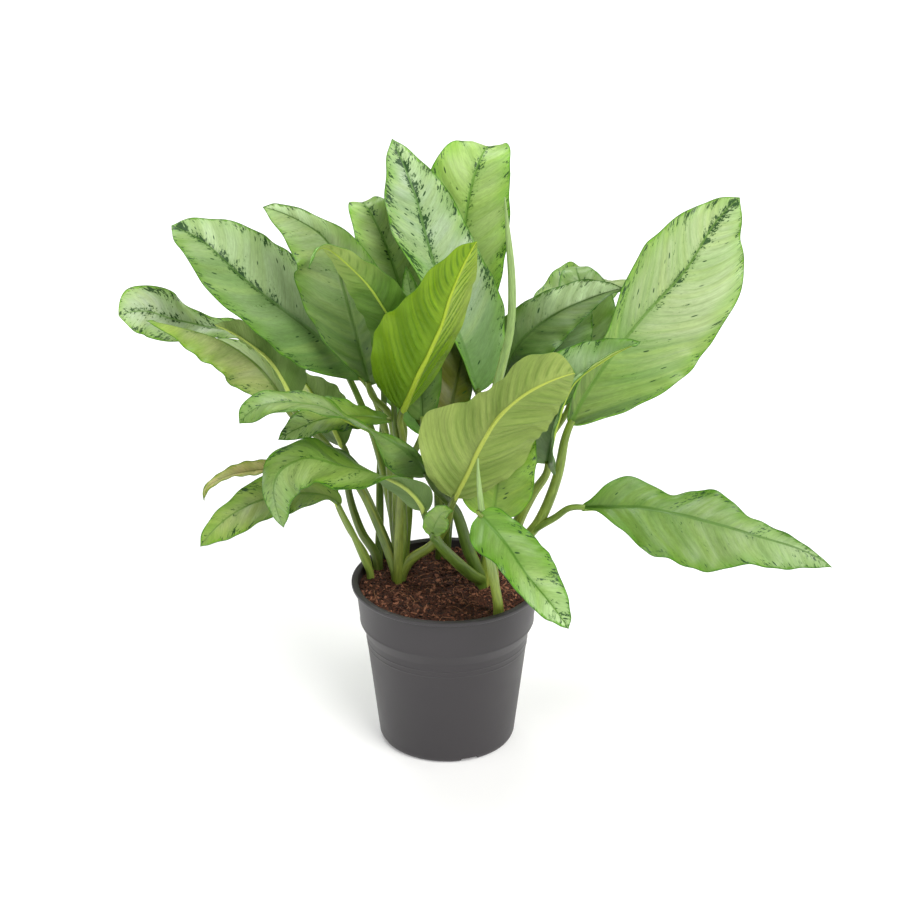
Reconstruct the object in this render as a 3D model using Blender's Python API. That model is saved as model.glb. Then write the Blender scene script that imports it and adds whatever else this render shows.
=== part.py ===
"""A potted foliage plant: nursery pot, soil, leafy stems and broad waved leaves.

The design tables are in millimetres: x to the right, y to the back, z up, with
the pot standing on z = 0.  Everything built from them is in metres.
"""
import math

import bmesh
import bpy
import numpy as np

MM = 0.001

# pot
POT_SIDES = 40
POT_OUTSIDE = [
    (61, 0), (66.3, 1.4), (68.5, 7), (81.5, 118), (86.1, 128), (86.9, 131.5), (90.4, 165),
    (90.8, 166.8), (94, 167.8), (95, 169.5), (95, 170.8), (94, 172),
]
POT_INSIDE = [
    (89.2, 172), (88.4, 171), (88.2, 167), (85.1, 131.5), (79, 118), (66.7, 8), (65, 4.6), (61.5, 3),
]
DRAIN_ANGLES = (-70, 20, 110, 200)
DRAIN_WIDTH = 18
DRAIN_REACH = (60, 74)
DRAIN_TOP = 4

# soil
SOIL_SIDES = 32
SOIL_WALL = [(61.2, 3.4), (64.5, 5), (66.2, 8.4), (78.5, 118.4), (84.6, 131.9), (87.5, 163.5)]
SOIL_RINGS = (74, 50, 24)
SOIL_CROWN = 168.0
SOIL_FALL = 4.0
SOIL_ROUGH = 1.3
HOLE_PLAY = 0.45

# stems and leaves
FOOT_DEPTH = 26.0
FOOT_RISE = 5.0
FOOT_BEVEL = 1.5
FOOT_SIDES = 16
STALK_SIDES = 7
LONGEST_STRETCH = 45.0
STALK_END_GAP = 1.1
BLADE_THICK = 0.9
MIDRIB_DEEP = 1.2
LANES = (0.0, 0.08, 0.5, 1.0)
STATIONS = 10
BASE_HALF = 1.3
TIP_HALF = 0.5
TIP_PINCH = 0.12

# Each leaf: the points its midrib passes from base to tip, its full width, the
# way its upper face looks along it, how steeply each half rises from the midrib
# in degrees, and where given: how far each half is trimmed, the wave of its
# margins (height, count, start) and its outline (belly, taper).
LEAVES = {
    # left side, high and long
    "leaf_01": dict(
        rib=[(-123, 122, 363), (-182, 106, 388), (-232, 88, 405), (-268, 70, 421), (-294, 56, 435),
             (-319, 46, 434)],
        width=67,
        face=[(0, 0, 1), (0, 0, 1), (0, -0.2, 1), (0, -0.5, 0.8), (-0.2, -0.9, 0.5), (-0.3, -0.9, 0.1)],
        fold=(15, 10), trim=((1, 0.7, 0.6, 0.8, 1.5), (1, 0.6, 0.4, 0.8, 1.7)), wave=(4, 2, 0.5),
        form=(0.5, 0.45)),
    "leaf_02": dict(
        rib=[(-158, 40, 343), (-185, 34, 388), (-217, 24, 417), (-255, 12, 435), (-286, 4, 445)],
        width=73, face=[(-0.2, -0.8, 0.6), (-0.2, -0.7, 0.7), (-0.1, -0.6, 0.85), (0, -0.6, 0.8)],
        fold=(-10, -76), trim=((0.6, 0.83, 0.9, 0.95, 1.05), 1), wave=(4, 2.5, 0.5), form=(0.45, 0.9)),
    "leaf_03": dict(
        rib=[(-151, 20, 356), (-167, 16, 394), (-190, 10, 420), (-221, 2, 442)],
        width=57, face=[(0.4, 0.9, 0.1), (0.4, 0.9, 0), (0.3, 0.9, 0.1)], fold=(55, 55), wave=(2, 2.5, 0)),
    "leaf_04": dict(
        rib=[(-84, 48, 367), (-134, 34, 425), (-171, 28, 458), (-200, 28, 484), (-229, 32, 512),
             (-262, 40, 528)],
        width=103, face=[(0.4, -0.7, 0.5), (0.4, -0.7, 0.5), (0.3, -0.7, 0.6)],
        fold=((0, 15, 35, 30), (25, 20, 15)), trim=((0.4, 0.8, 0.93, 1.17, 1.35), (1, 1, 1, 0.98, 0.9)),
        wave=(4, 2.5, 0),
        form=(0.5, 0.6)),
    "leaf_05": dict(
        rib=[(-75, 20, 372), (-85, 15, 419), (-97, 12, 471), (-112, 13, 520), (-138, 17, 540),
             (-173, 20, 553)],
        width=90, face=[(-0.3, -0.9, 0.2), (-0.2, -0.85, 0.4), (0, -0.6, 0.8), (0, -0.5, 0.9)],
        fold=((35, 15, 5, 5), (25, 30, 65, 85)),
        trim=((0.3, 0.8, 0.95, 1.14, 1.1), (1, 1.2, 1.3, 0.5, 0.6)),
        wave=(3, 2, 0), form=(0.6, 0.7)),
    # middle, in front and behind
    "leaf_06": dict(
        rib=[(-49, -10, 381), (-48, -24, 440), (-66, -38, 486), (-93, -50, 523), (-114, -58, 540),
             (-126, -66, 523)],
        width=52, face=[(0.2, 0.9, 0.1), (0.2, 0.9, 0.1), (0.1, 0.9, 0.4), (-0.3, -0.2, 0.9)],
        fold=(15, 5), wave=(2, 2.5, 0), form=(0.4, 0.9)),
    "leaf_07": dict(
        rib=[(-42, -20, 362), (-28, -40, 405), (-7, -62, 461), (8, -78, 514), (27, -82, 555)],
        width=105, face=[(0.1, 0.9, 0.3), (-0.2, 0.9, 0.3), (-0.3, 0.8, 0.4)],
        fold=((65, 55, 30), 20), trim=(1, (1, 1, 1, 0.85, 1)), wave=(3, 2, 0), form=(0.5, 0.75)),
    "leaf_08": dict(
        rib=[(30, 34, 358), (15, 40, 406), (-1, 50, 449), (-18, 66, 499), (-31, 82, 545), (-53, 102, 595)],
        width=107, face=[(0.3, -0.9, 0.3), (0.2, -0.85, 0.4), (0.05, -0.85, 0.4)],
        fold=((40, 36, 30, 15), 5), trim=((0.15, 0.15, 0.28, 0.5, 0.82, 1, 1.1), (1, 1, 0.9, 0.85, 0.8)),
        wave=(4, 2.5, 0), form=(0.5, 0.75)),
    "leaf_09": dict(
        rib=[(25, 84, 388), (16, 98, 462), (20, 112, 522), (30, 124, 561), (39, 142, 573), (43, 175, 559)],
        width=88, face=[(0, -0.95, 0.3), (0, -0.9, 0.4), (0, -0.8, 0.6), (0, 0.2, 1)],
        fold=(12, 12), trim=((1, 1, 1, 1.12, 1.1), 1), wave=(2, 2, 0), form=(0.75, 0.8)),
    "leaf_10": dict(
        rib=[(-15, 62, 355), (-43, 82, 442), (-65, 92, 504), (-79, 104, 526), (-86, 137, 515)],
        width=82, face=[(0.2, -0.95, 0.2), (0.2, -0.9, 0.3), (0.1, -0.8, 0.5), (0, 0, 1)],
        fold=(15, 15), wave=(3, 2, 0)),
    "leaf_11": dict(
        rib=[(-24, 6, 341), (-25, 6, 375), (-28, 6, 432), (-35, 8, 476), (-39, 10, 498)],
        width=44, face=[(0, -0.95, 0.2), (0, -0.95, 0.3)], fold=(15, 15), wave=(2, 2, 0), form=(0.42, 0.8)),
    "leaf_12": dict(
        rib=[(8, -60, 289), (21, -75, 325), (36, -90, 365), (55, -103, 399), (85, -110, 425),
             (117, -108, 437)],
        width=103, face=[(0.1, 0.9, 0.4), (0, 0.9, 0.4), (0.1, 0.9, 0.3)],
        fold=(8, (0, 0, 30, 60, 60, 50, 30)),
        trim=((0.6, 0.8, 0.95, 0.95, 1, 1, 1), (0.7, 0.95, 1.2, 0.7, 0.5, 0.8, 1)), wave=(2, 3, 0),
        form=(0.3, 0.38)),
    # right side
    "leaf_13": dict(
        rib=[(119, -5, 341), (138, 5, 377), (185, 25, 437), (229, 42, 483), (258, 60, 525), (281, 70, 546)],
        width=118, face=[(0, -0.9, 0.4), (0.1, -0.9, 0.5), (0, -0.9, 0.5)],
        fold=((45, 45, 30), (0, 0, 10)),
        trim=((0.3, 0.35, 0.4, 0.75, 1.06, 0.98, 0.66), (0.6, 0.95, 1.12, 1.16, 1.14, 1.08, 1)),
        wave=(3, 3, 0), form=(0.45, 0.6)),
    "leaf_14": dict(
        rib=[(131, -6, 253), (147, -10, 255), (191, -22, 260), (245, -35, 254), (303, -45, 240),
             (346, -52, 228),
             (373, -55, 212)],
        width=84, face=[(0, -0.5, 0.9), (0, -0.5, 0.9), (0, -0.6, 0.8), (0, -0.7, 0.7)],
        fold=((75, 15, 0, 0, 0, 0), (30, 0, -5, -10, -5, 0)),
        trim=((0.4, 0.84, 0.6, 0.82, 0.58, 0.34, 0.4), (0.1, 0.72, 1.28, 1.28, 1, 1.12, 1.1)),
        wave=(6, 3, -1.25), form=(0.5, 0.8)),
    "leaf_15": dict(
        rib=[(97, -25, 308), (104, -38, 355), (119, -42, 399), (146, -40, 421), (182, -35, 439)],
        width=76, face=[(-0.2, -0.8, 0.5), (-0.3, -0.7, 0.6), (-0.1, -0.7, 0.7), (0, -0.7, 0.7)],
        fold=(25, (60, 80, 95)), wave=(2, 2.5, 0), form=(0.4, 0.8)),
    "leaf_16": dict(
        rib=[(55, 58, 353), (70, 60, 398), (104, 64, 427), (139, 68, 443), (172, 72, 453)],
        width=84, face=[(-0.4, -0.8, 0.3), (-0.3, -0.9, 0.3), (-0.3, -0.9, 0.3), (0, -0.8, 0.5)],
        fold=(5, (20, 50, 85)), trim=((1, 0.9, 0.7, 0.65, 0.7, 0.9, 1), 1), wave=(2, 2.5, 0)),
    "leaf_17": dict(
        rib=[(125, 122, 313), (137, 134, 379), (136, 142, 423), (131, 152, 440), (132, 177, 436)],
        width=75, face=[(0, -0.95, 0.3), (0, -0.9, 0.4), (0, -0.8, 0.6), (0, 0, 1)], fold=(5, 5),
        wave=(3, 2, 0)),
    "leaf_18": dict(
        rib=[(93, 74, 323), (106, 84, 381), (118, 92, 405), (132, 100, 427), (144, 108, 437)],
        width=80, face=[(-0.3, -0.9, 0.3), (-0.3, -0.9, 0.3)], fold=(55, 15), wave=(2, 2, 0)),
    # low leaves of the middle and the front
    "leaf_19": dict(
        rib=[(3, 15, 316), (5, 32, 346), (13, 48, 382), (19, 60, 414)],
        width=84, face=[(0.1, -0.95, 0.2), (0.1, -0.95, 0.3)], fold=(5, 5), trim=(1, 0.4), wave=(2, 2, 0)),
    "leaf_20": dict(
        rib=[(-14, -66, 252), (-9, -78, 274), (-3, -90, 288), (6, -98, 293)],
        width=25, face=[(0, -0.9, 0.3), (0, -0.9, 0.5)], fold=(5, 5), wave=(1, 2, 0)),
    "leaf_21": dict(
        rib=[(45, -46, 263), (48, -50, 298), (54, -52, 335), (64, -48, 370), (74, -40, 397)],
        width=73, face=[(-0.1, -0.95, 0.3), (-0.1, -0.95, 0.3)], fold=(15, 15), wave=(3, 2.5, 0),
        form=(0.4, 0.8)),
    "leaf_22": dict(
        rib=[(31, -88, 285), (53, -105, 265), (75, -120, 236), (99, -129, 208), (115, -131, 184)],
        width=59, face=[(-0.2, -0.7, 0.6), (0.1, -0.85, 0.5), (0.2, -0.9, 0.3)],
        fold=(0, (0, 45, 20)),
        trim=((0.9, 0.75, 0.9, 1.03, 1.03, 1, 1.05), (1, 1, 0.8, 0.85, 0.9, 0.9, 0.7)),
        wave=(2, 2.5, 0), form=(0.35, 0.65)),
    # low leaves of the left
    "leaf_23": dict(
        rib=[(-22, -62, 275), (-37, -68, 302), (-63, -72, 319), (-96, -76, 329), (-133, -82, 340),
             (-159, -90, 326),
             (-154, -92, 273)],
        width=86,
        face=[(0.6, 0.6, 0.5), (0.2, 0.2, 1), (0, 0, 1), (0, 0, 1), (-0.2, -0.3, 0.9), (-0.7, -0.7, 0.2),
                        (-0.7, -0.7, 0)],
        fold=((55, 35, -14, -19, -14, -4), (-50, -30, 0, 0, 0)),
        trim=((0.7, 0.6, 0.65, 0.85, 0.9, 0.9, 0.9), (0.6, 0.62, 0.9, 0.9, 0.75, 0.65, 0.8)),
        wave=(3, 2, 0), form=(0.5, 0.65)),
    "leaf_24": dict(
        rib=[(-18, -42, 303), (-33, -42, 324), (-54, -42, 341), (-92, -45, 362), (-123, -50, 380),
             (-171, -57, 384),
             (-195, -60, 366)],
        width=80,
        face=[(-0.5, -0.8, 0.3), (-0.2, -0.5, 0.7), (0, 0.2, 1), (0, 0, 1), (0, 0, 1), (-0.5, -0.7, 0.5)],
        fold=(10, (10, 0, 15, 20)),
        trim=((0.7, 0.75, 0.9, 1.05, 1.2, 1.2, 1.1), (0.3, 0.2, 0.2, 0.4, 0.7, 0.85, 1)),
        wave=(3, 2, 0), form=(0.4, 0.65)),
    "leaf_25": dict(
        rib=[(-54, -4, 345), (-84, -7, 351), (-117, -12, 350), (-141, -17, 343), (-162, -21, 332)],
        width=55, face=[(0, -0.1, 1), (0, -0.3, 0.9), (-0.2, -0.7, 0.7)], fold=(15, 15),
        trim=(1, (0.4, 0.6, 0.9, 1, 1)), wave=(2, 2, 0)),
    "leaf_26": dict(
        rib=[(-104, 62, 288), (-118, 64, 318), (-134, 69, 344), (-149, 75, 365)],
        width=80, face=[(0.3, 0.8, 0.5), (0.3, 0.8, 0.5)],
        fold=(20, 20), trim=((0.3, 0.5, 0.65, 0.75, 0.8, 0.9, 1), 1), wave=(3, 2, 0)),
    "leaf_27": dict(
        rib=[(-106, 16, 243), (-116, 12, 256), (-144, 0, 265), (-180, -12, 264), (-213, -22, 250),
             (-241, -25, 220)],
        width=61, face=[(-0.1, -0.2, 1), (-0.1, -0.5, 0.85), (-0.2, -0.6, 0.8)],
        fold=(10, 10), trim=((0.6, 0.6, 0.7, 0.9, 1.15, 1.2, 1.1), (1, 1, 0.8, 0.75, 0.7, 0.75, 0.8)),
        wave=(4, 2, 0), form=(0.5, 0.75)),
    "leaf_28": dict(
        rib=[(-117, 52, 256), (-156, 44, 271), (-195, 36, 273), (-222, 28, 269), (-237, 22, 261),
             (-240, 18, 249)],
        width=23, face=[(0, -0.6, 0.8), (0, -0.6, 0.8)], fold=(50, 30), wave=(2, 3, 0)),
    # leaves that arch to the back
    "leaf_29": dict(
        rib=[(-70, 150, 330), (-100, 195, 375), (-130, 250, 385), (-150, 300, 355), (-160, 330, 320)],
        width=91, face=[(0, 0, 1), (-0.2, 0.3, 1), (-0.4, 0.8, 0.5)], fold=(15, 15), wave=(4, 2.5, 0)),
    "leaf_30": dict(
        rib=[(4, 150, 400), (8, 200, 445), (12, 260, 462), (14, 310, 440), (15, 340, 400)],
        width=95, face=[(0, 0, 1), (0, 0.2, 1), (0, 0.8, 0.5)], fold=(15, 15), wave=(4, 2.5, 0)),
    "leaf_31": dict(
        rib=[(95, 150, 345), (130, 200, 385), (165, 250, 395), (192, 290, 365), (205, 315, 325)],
        width=91, face=[(0, 0, 1), (0.2, 0.3, 1), (0.6, 0.6, 0.5)], fold=(15, 15), wave=(4, 2.5, 0)),
    "leaf_32": dict(
        rib=[(-20, 130, 270), (-35, 175, 300), (-45, 225, 300), (-50, 265, 275), (-52, 290, 240)],
        width=76, face=[(0, 0, 1), (0, 0.2, 1), (0, 0.8, 0.5)], fold=(15, 15), wave=(4, 2.5, 0)),
    "leaf_33": dict(
        rib=[(40, 130, 240), (48, 170, 268), (55, 215, 268), (60, 250, 240)],
        width=73, face=[(0, 0, 1), (0, 0.2, 1), (0, 0.8, 0.5)], fold=(15, 15), wave=(4, 2.5, 0)),
}

# Each stem: where its foot leaves the soil, the radius of the foot, and its
# stalks: the leaf each one carries, the points it passes and its radii.  A
# branch starts at its first point, inside another stalk.
STEMS = {
    "stem_1": dict(foot=(-76, 18, 167), radius=5.4, stalks=[
        ("leaf_27", [(-82, 18, 184), (-93, 18, 212)], (4.4, 4, 3.2, 2.4)),
        ("leaf_28", [(-81, 21, 187), (-99, 27, 216), (-111, 40, 240)], (3.3, 3, 2.4, 1.8))]),
    "stem_2": dict(foot=(-69, 36, 165), radius=6, stalks=[
        ("leaf_26", [(-73, 39, 182), (-86, 48, 200), (-99, 58, 242)], (5, 4.3, 3.6, 3)),
        ("leaf_29", [(-68, 58, 200), (-68, 92, 250)], (4.5, 4, 3.4, 3))]),
    "stem_3": dict(foot=(-48, 8, 168), radius=9, stalks=[
        ("leaf_03", [(-56, 12, 191), (-69, 18, 225), (-85, 24, 259), (-120, 26, 309)], (6, 5, 4.4, 3.8, 3)),
        ("leaf_02", [(-56, 16, 191), (-70, 26, 225), (-87, 34, 261), (-125, 42, 305)],
         (5.5, 4.6, 4, 3.4, 2.8)),
        ("leaf_07", [(-47, 0, 225), (-43, -6, 292), (-42, -12, 326)], (6, 5, 4.2, 3.4, 3)),
        ("leaf_25", [(-46, 6, 236), (-44, 1, 303)], (5, 4, 3.2, 2.6)),
        ("leaf_06", [(-43, 2, 224), (-46, -8, 301)], (5, 4.2, 3.4, 2.6)),
        ("leaf_12", [(-36, 3, 192), (-14, -8, 214), (-1, -26, 244)], (6, 5.4, 4.6, 4, 3.2))]),
    "stem_4": dict(foot=(-46, 36, 168), radius=9, stalks=[
        ("leaf_04", [(-53, 40, 218), (-56, 42, 273), (-63, 46, 322)], (6, 5.2, 4.6, 3.8, 3)),
        ("leaf_05", [(-50, 33, 221), (-50, 28, 290), (-57, 24, 341)], (6, 5.2, 4.6, 3.8, 3)),
        ("leaf_01", [(-56, 60, 220), (-76, 96, 290)], (5, 4.4, 3.6, 2.8)),
        ("leaf_11", [(-39, 30, 222), (-34, 12, 296)], (5, 4.4, 3.6, 2.6))]),
    "stem_5": dict(foot=(35, -4, 169), radius=8.5, stalks=[
        ("leaf_23", [(26, -13, 182), (10, -29, 205), (-9, -51, 238)], (6.6, 6.2, 5.6, 4.6, 3.2)),
        ("leaf_20", [(-6, -50, 232), (-12, -58, 243)], (3, 2.4, 1.9), "branch"),
        ("leaf_24", [(28, -6, 190), (20, -10, 213), (8, -22, 258)], (7, 6.4, 5.6, 4.4, 3)),
        ("leaf_08", [(41, 3, 207), (44, 7, 276)], (6, 5.4, 4.6, 3.2)),
        (None, [(42, -4, 208), (44, -4, 291), (46, -2, 368), (53, 3, 399), (61, 14, 434), (62, 26, 478),
                (58, 40, 523), (55, 50, 553)], (5.4, 4.8, 4.8, 4.6, 4.4, 4, 3.4, 0.8))]),
    "stem_6": dict(foot=(50, -62, 168), radius=5.5, stalks=[
        (None, [(42, -72, 224), (35, -80, 269), (30, -91, 319), (29, -100, 348)], (5, 4.3, 3.6, 2.8, 0.8)),
        ("leaf_22", [(34, -81, 283)], (2.6, 2.2, 2), "branch"),
        ("leaf_21", [(46, -62, 213), (46, -50, 240)], (4.4, 3.8, 3.2, 2.6))]),
    "stem_7": dict(foot=(66, 33, 168), radius=9, stalks=[
        ("leaf_15", [(66, 22, 200), (70, 10, 228), (84, -8, 269)], (6.6, 6, 5.4, 4.6, 3.4)),
        ("leaf_13", [(76, 26, 200), (92, 18, 228), (108, 2, 283)], (6.4, 6, 5.4, 4.8, 3.8)),
        ("leaf_14", [(74, 28, 196), (86, 20, 216), (107, 6, 237)], (5.4, 4.8, 4.2, 3.6, 3))]),
    "stem_8": dict(foot=(50, 58, 168), radius=8.5, stalks=[
        ("leaf_16", [(57, 62, 227), (58, 62, 295)], (6, 5.2, 4.4, 3.2)),
        ("leaf_18", [(62, 66, 226), (78, 72, 274)], (5, 4.4, 3.8, 3)),
        ("leaf_17", [(66, 76, 221), (98, 102, 271)], (5, 4.4, 3.8, 3)),
        ("leaf_31", [(62, 92, 225), (80, 128, 300)], (5, 4.4, 3.8, 3)),
        ("leaf_33", [(46, 66, 188), (43, 90, 204), (39, 114, 222)], (4.4, 4, 3.6, 3.2, 2.8))]),
    "stem_9": dict(foot=(-4, 62, 168), radius=9, stalks=[
        ("leaf_09", [(3, 66, 227), (15, 76, 311)], (6, 5.2, 4.4, 3.2)),
        ("leaf_10", [(-8, 60, 230), (-10, 60, 296)], (6, 5.2, 4.2, 3.2)),
        ("leaf_19", [(0, 48, 212), (2, 22, 270)], (5, 4.2, 3.4, 2.6)),
        ("leaf_30", [(0, 86, 240), (3, 124, 340)], (5.4, 4.6, 4, 3.2)),
        ("leaf_32", [(-6, 76, 195), (-12, 106, 240)], (4.6, 4, 3.4, 2.8))]),
}


def unit(vectors):
    """The vectors scaled to length one."""
    return vectors / np.maximum(np.linalg.norm(vectors, axis=-1, keepdims=True), 1e-9)


def spline(points, count):
    """Points evenly spaced along a smooth curve through the given points."""
    points = np.asarray(points, float)
    if len(points) == 2:
        return points[0] + (points[1] - points[0]) * np.linspace(0, 1, count)[:, None]
    chord = np.sqrt(np.linalg.norm(np.diff(points, axis=0), axis=1))
    knot = np.concatenate([[0], np.cumsum(chord)])
    slope = np.gradient(points, knot, axis=0, edge_order=2)
    u = np.linspace(0, 1, 61)[:, None]
    pieces = []
    for i in range(len(points) - 1):
        step = knot[i + 1] - knot[i]
        start = (2 * u**3 - 3 * u**2 + 1) * points[i] + (u**3 - 2 * u**2 + u) * step * slope[i]
        end = (3 * u**2 - 2 * u**3) * points[i + 1] + (u**3 - u**2) * step * slope[i + 1]
        pieces.append(start + end)
    fine = np.concatenate(pieces)
    run = np.concatenate([[0], np.cumsum(np.linalg.norm(np.diff(fine, axis=0), axis=1))])
    want = np.linspace(0, run[-1], count)
    return np.stack([np.interp(want, run, fine[:, k]) for k in range(3)], -1)


def rib_at(points, s):
    """Places and directions on the smooth curve at the shares s of its length."""
    fine = spline(points, 241)
    heading = unit(np.gradient(fine, axis=0))
    even = np.linspace(0, 1, 241)
    place = np.stack([np.interp(s, even, fine[:, k]) for k in range(3)], -1)
    return place, unit(np.stack([np.interp(s, even, heading[:, k]) for k in range(3)], -1))


def along(values, s):
    """A value, or a list of values spread from base to tip, read at s."""
    values = np.atleast_1d(np.asarray(values, float))
    return np.interp(s, np.linspace(0, 1, len(values)), values)


def half_width(leaf, s):
    """Half the width of a blade from base to tip before it is trimmed."""
    belly, taper = leaf.get("form", (0.5, 0.85))
    peak = belly / (belly + taper)
    top = peak**belly * (1 - peak) ** taper
    shape = s**belly * (1 - s) ** taper / top
    shape *= 1 - TIP_PINCH * np.exp(-(((s - 0.9) / 0.06) ** 2))
    return leaf["width"] / 2 * shape


def blade_rows(leaf):
    """Middle surface of a blade as rows of points, with the midrib in the middle column."""
    even = np.linspace(0, 1, STATIONS)
    s = 0.6 * even + 0.4 * (0.5 - 0.5 * np.cos(math.pi * even))
    rib, tangent = rib_at(leaf["rib"], s)
    face = np.asarray(leaf["face"], float)
    toward = np.stack([along(face[:, k], s) for k in range(3)], -1)
    normal = unit(toward - (toward * tangent).sum(1, keepdims=True) * tangent)
    side = np.cross(tangent, normal)
    height, count, start = leaf.get("wave", (3, 2.5, 0))
    least = np.interp(s, [0, 0.03, 0.97, 1], [BASE_HALF, 0, 0, TIP_HALF])
    lanes = len(LANES) - 1
    rows = np.zeros((STATIONS, 2 * lanes + 1, 3))
    for sign, fold, trim in zip((-1, 1), leaf["fold"], leaf.get("trim", (1, 1))):
        reach = np.maximum(half_width(leaf, s) * along(trim, s), least)
        steep = along(fold, s) * np.clip(reach / 8, 0.2, 1)
        phase = 2 * math.pi * count * s + start + (1.9 if sign > 0 else 0)
        ripple = height * np.sin(phase) * np.sin(math.pi * s) ** 0.5
        for lane, t in enumerate(LANES):
            part = (np.arange(8) + 0.5)[:, None] * t / 8
            angle = np.radians(steep * (1 - 0.35 * part))
            across = np.cos(angle).mean(0) * t * reach
            lift = np.sin(angle).mean(0) * t * reach + ripple * t**2.2
            rows[:, lanes + sign * lane] = rib + side * (sign * across)[:, None] + normal * lift[:, None]
    return rows


def row_normals(rows):
    """Outward direction of the upper face at every point of the rows."""
    down = np.gradient(rows, axis=0)
    over = np.gradient(rows, axis=1)
    return unit(np.cross(over, down))


def blade_solid(leaf):
    """Points and faces of a closed blade whose upper and lower faces are alike."""
    rows = blade_rows(leaf)
    n, k = rows.shape[:2]
    normal = row_normals(rows)
    keel = np.zeros((n, k))
    keel[:, k // 2] = MIDRIB_DEEP * np.linspace(1, 0.15, n)
    upper = rows + normal * BLADE_THICK / 2
    lower = rows - normal * (BLADE_THICK / 2 + keel)[..., None]
    points = np.concatenate([upper.reshape(-1, 3), lower.reshape(-1, 3)]) * MM
    size = n * k
    faces = []
    for i in range(n - 1):
        for j in range(k - 1):
            a, b, c, d = i * k + j, i * k + j + 1, (i + 1) * k + j + 1, (i + 1) * k + j
            pair = [(a, b, c), (a, c, d)] if j < k // 2 else [(a, b, d), (b, c, d)]
            for face in pair:
                faces.append(face)
                faces.append(tuple(size + v for v in reversed(face)))
    edge = [i * k for i in range(n)]
    edge += [(n - 1) * k + j for j in range(1, k)]
    edge += [i * k + k - 1 for i in range(n - 2, -1, -1)]
    edge += [j for j in range(k - 2, 0, -1)]
    for a, b in zip(edge, edge[1:] + edge[:1]):
        faces.append((a, b, size + b))
        faces.append((a, size + b, size + a))
    return points, faces


def ring_shares(path):
    """Where along a path its tube has rings: at its points, and halfway on long stretches."""
    run = np.concatenate([[0], np.cumsum(np.linalg.norm(np.diff(np.array(path), axis=0), axis=1))])
    stops = [0.0]
    for start, end in zip(run, run[1:]):
        steps = math.ceil((end - start) / LONGEST_STRETCH)
        stops.extend(start + (end - start) * (k + 1) / steps for k in range(steps))
    return np.array(stops) / run[-1]


def tube_solid(path, radii, sides):
    """Points and faces of a closed round tube along a smooth path."""
    share = ring_shares(path)
    count = len(share)
    centre, tangent = rib_at(path, share)
    radius = np.interp(share, np.linspace(0, 1, len(radii)), radii)
    across = unit(np.cross(tangent, (0.31, -0.94, 0.13)))
    other = np.cross(tangent, across)
    angle = 2 * math.pi * np.arange(sides) / sides
    ring = np.cos(angle)[None, :, None] * across[:, None] + np.sin(angle)[None, :, None] * other[:, None]
    points = (centre[:, None] + radius[:, None, None] * ring).reshape(-1, 3) * MM
    faces = []
    for i in range(count - 1):
        for j in range(sides):
            a, b = i * sides + j, i * sides + (j + 1) % sides
            faces.append((a, b, b + sides, a + sides))
    faces.append(tuple(reversed(range(sides))))
    faces.append(tuple((count - 1) * sides + j for j in range(sides)))
    return points, faces


def lathe_solid(outline, sides):
    """Points and faces of a solid turned about z; the outline runs axis to axis."""
    points = []
    faces = []
    angle = 2 * math.pi * np.arange(sides) / sides
    first, last = outline[0], outline[-1]
    points.append((0, 0, first[1]))
    for radius, height in outline[1:-1]:
        points.extend((radius * math.cos(a), radius * math.sin(a), height) for a in angle)
    points.append((0, 0, last[1]))
    rings = len(outline) - 2
    end = len(points) - 1
    for j in range(sides):
        n = (j + 1) % sides
        faces.append((0, 1 + n, 1 + j))
        for i in range(rings - 1):
            a, b = 1 + i * sides + j, 1 + i * sides + n
            faces.append((a, b, b + sides, a + sides))
        faces.append((end, 1 + (rings - 1) * sides + j, 1 + (rings - 1) * sides + n))
    return np.array(points) * MM, faces


def peg_solid(x, y, radius, low, high, bevel):
    """Points and faces of an upright round peg, bevelled at its top."""
    outline = [(0, low), (radius, low), (radius, high - bevel), (radius - bevel, high), (0, high)]
    points, faces = lathe_solid(outline, FOOT_SIDES)
    return points + np.array([x, y, 0]) * MM, faces


def make_object(name, points, faces, material):
    """A mesh object with its faces turned outward."""
    mesh = bpy.data.meshes.new(name)
    mesh.from_pydata([tuple(p) for p in points], [], faces)
    work = bmesh.new()
    work.from_mesh(mesh)
    bmesh.ops.recalc_face_normals(work, faces=work.faces)
    work.to_mesh(mesh)
    work.free()
    if material:
        mesh.materials.append(material)
    thing = bpy.data.objects.new(name, mesh)
    bpy.context.scene.collection.objects.link(thing)
    return thing


def combine(thing, others, operation):
    """Add the other solids to the thing, or cut them out of it, in one step."""
    group = bpy.data.collections.new("tools")
    bpy.context.scene.collection.children.link(group)
    for other in others:
        bpy.context.scene.collection.objects.unlink(other)
        group.objects.link(other)
    step = thing.modifiers.new("step", "BOOLEAN")
    step.operation = operation
    step.solver = "MANIFOLD"
    step.operand_type = "COLLECTION"
    step.collection = group
    bpy.context.view_layer.update()
    shape = thing.evaluated_get(bpy.context.evaluated_depsgraph_get())
    mesh = bpy.data.meshes.new_from_object(shape)
    thing.modifiers.clear()
    thing.data = mesh
    for other in others:
        bpy.data.objects.remove(other)
    bpy.data.collections.remove(group)
    return thing


def tidy_mesh(thing, nearest):
    """Weld points that lie closer than nearest millimetres and drop what collapses."""
    work = bmesh.new()
    work.from_mesh(thing.data)
    bmesh.ops.remove_doubles(work, verts=work.verts, dist=nearest * MM)
    bmesh.ops.dissolve_degenerate(work, edges=work.edges, dist=nearest * MM / 2)
    bmesh.ops.recalc_face_normals(work, faces=work.faces)
    work.to_mesh(thing.data)
    work.free()


def paint(name, colour, roughness):
    """A plain surface material."""
    material = bpy.data.materials.new(name)
    material.use_nodes = True
    shader = material.node_tree.nodes["Principled BSDF"]
    shader.inputs["Base Color"].default_value = (*colour, 1)
    shader.inputs["Roughness"].default_value = roughness
    return material


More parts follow.
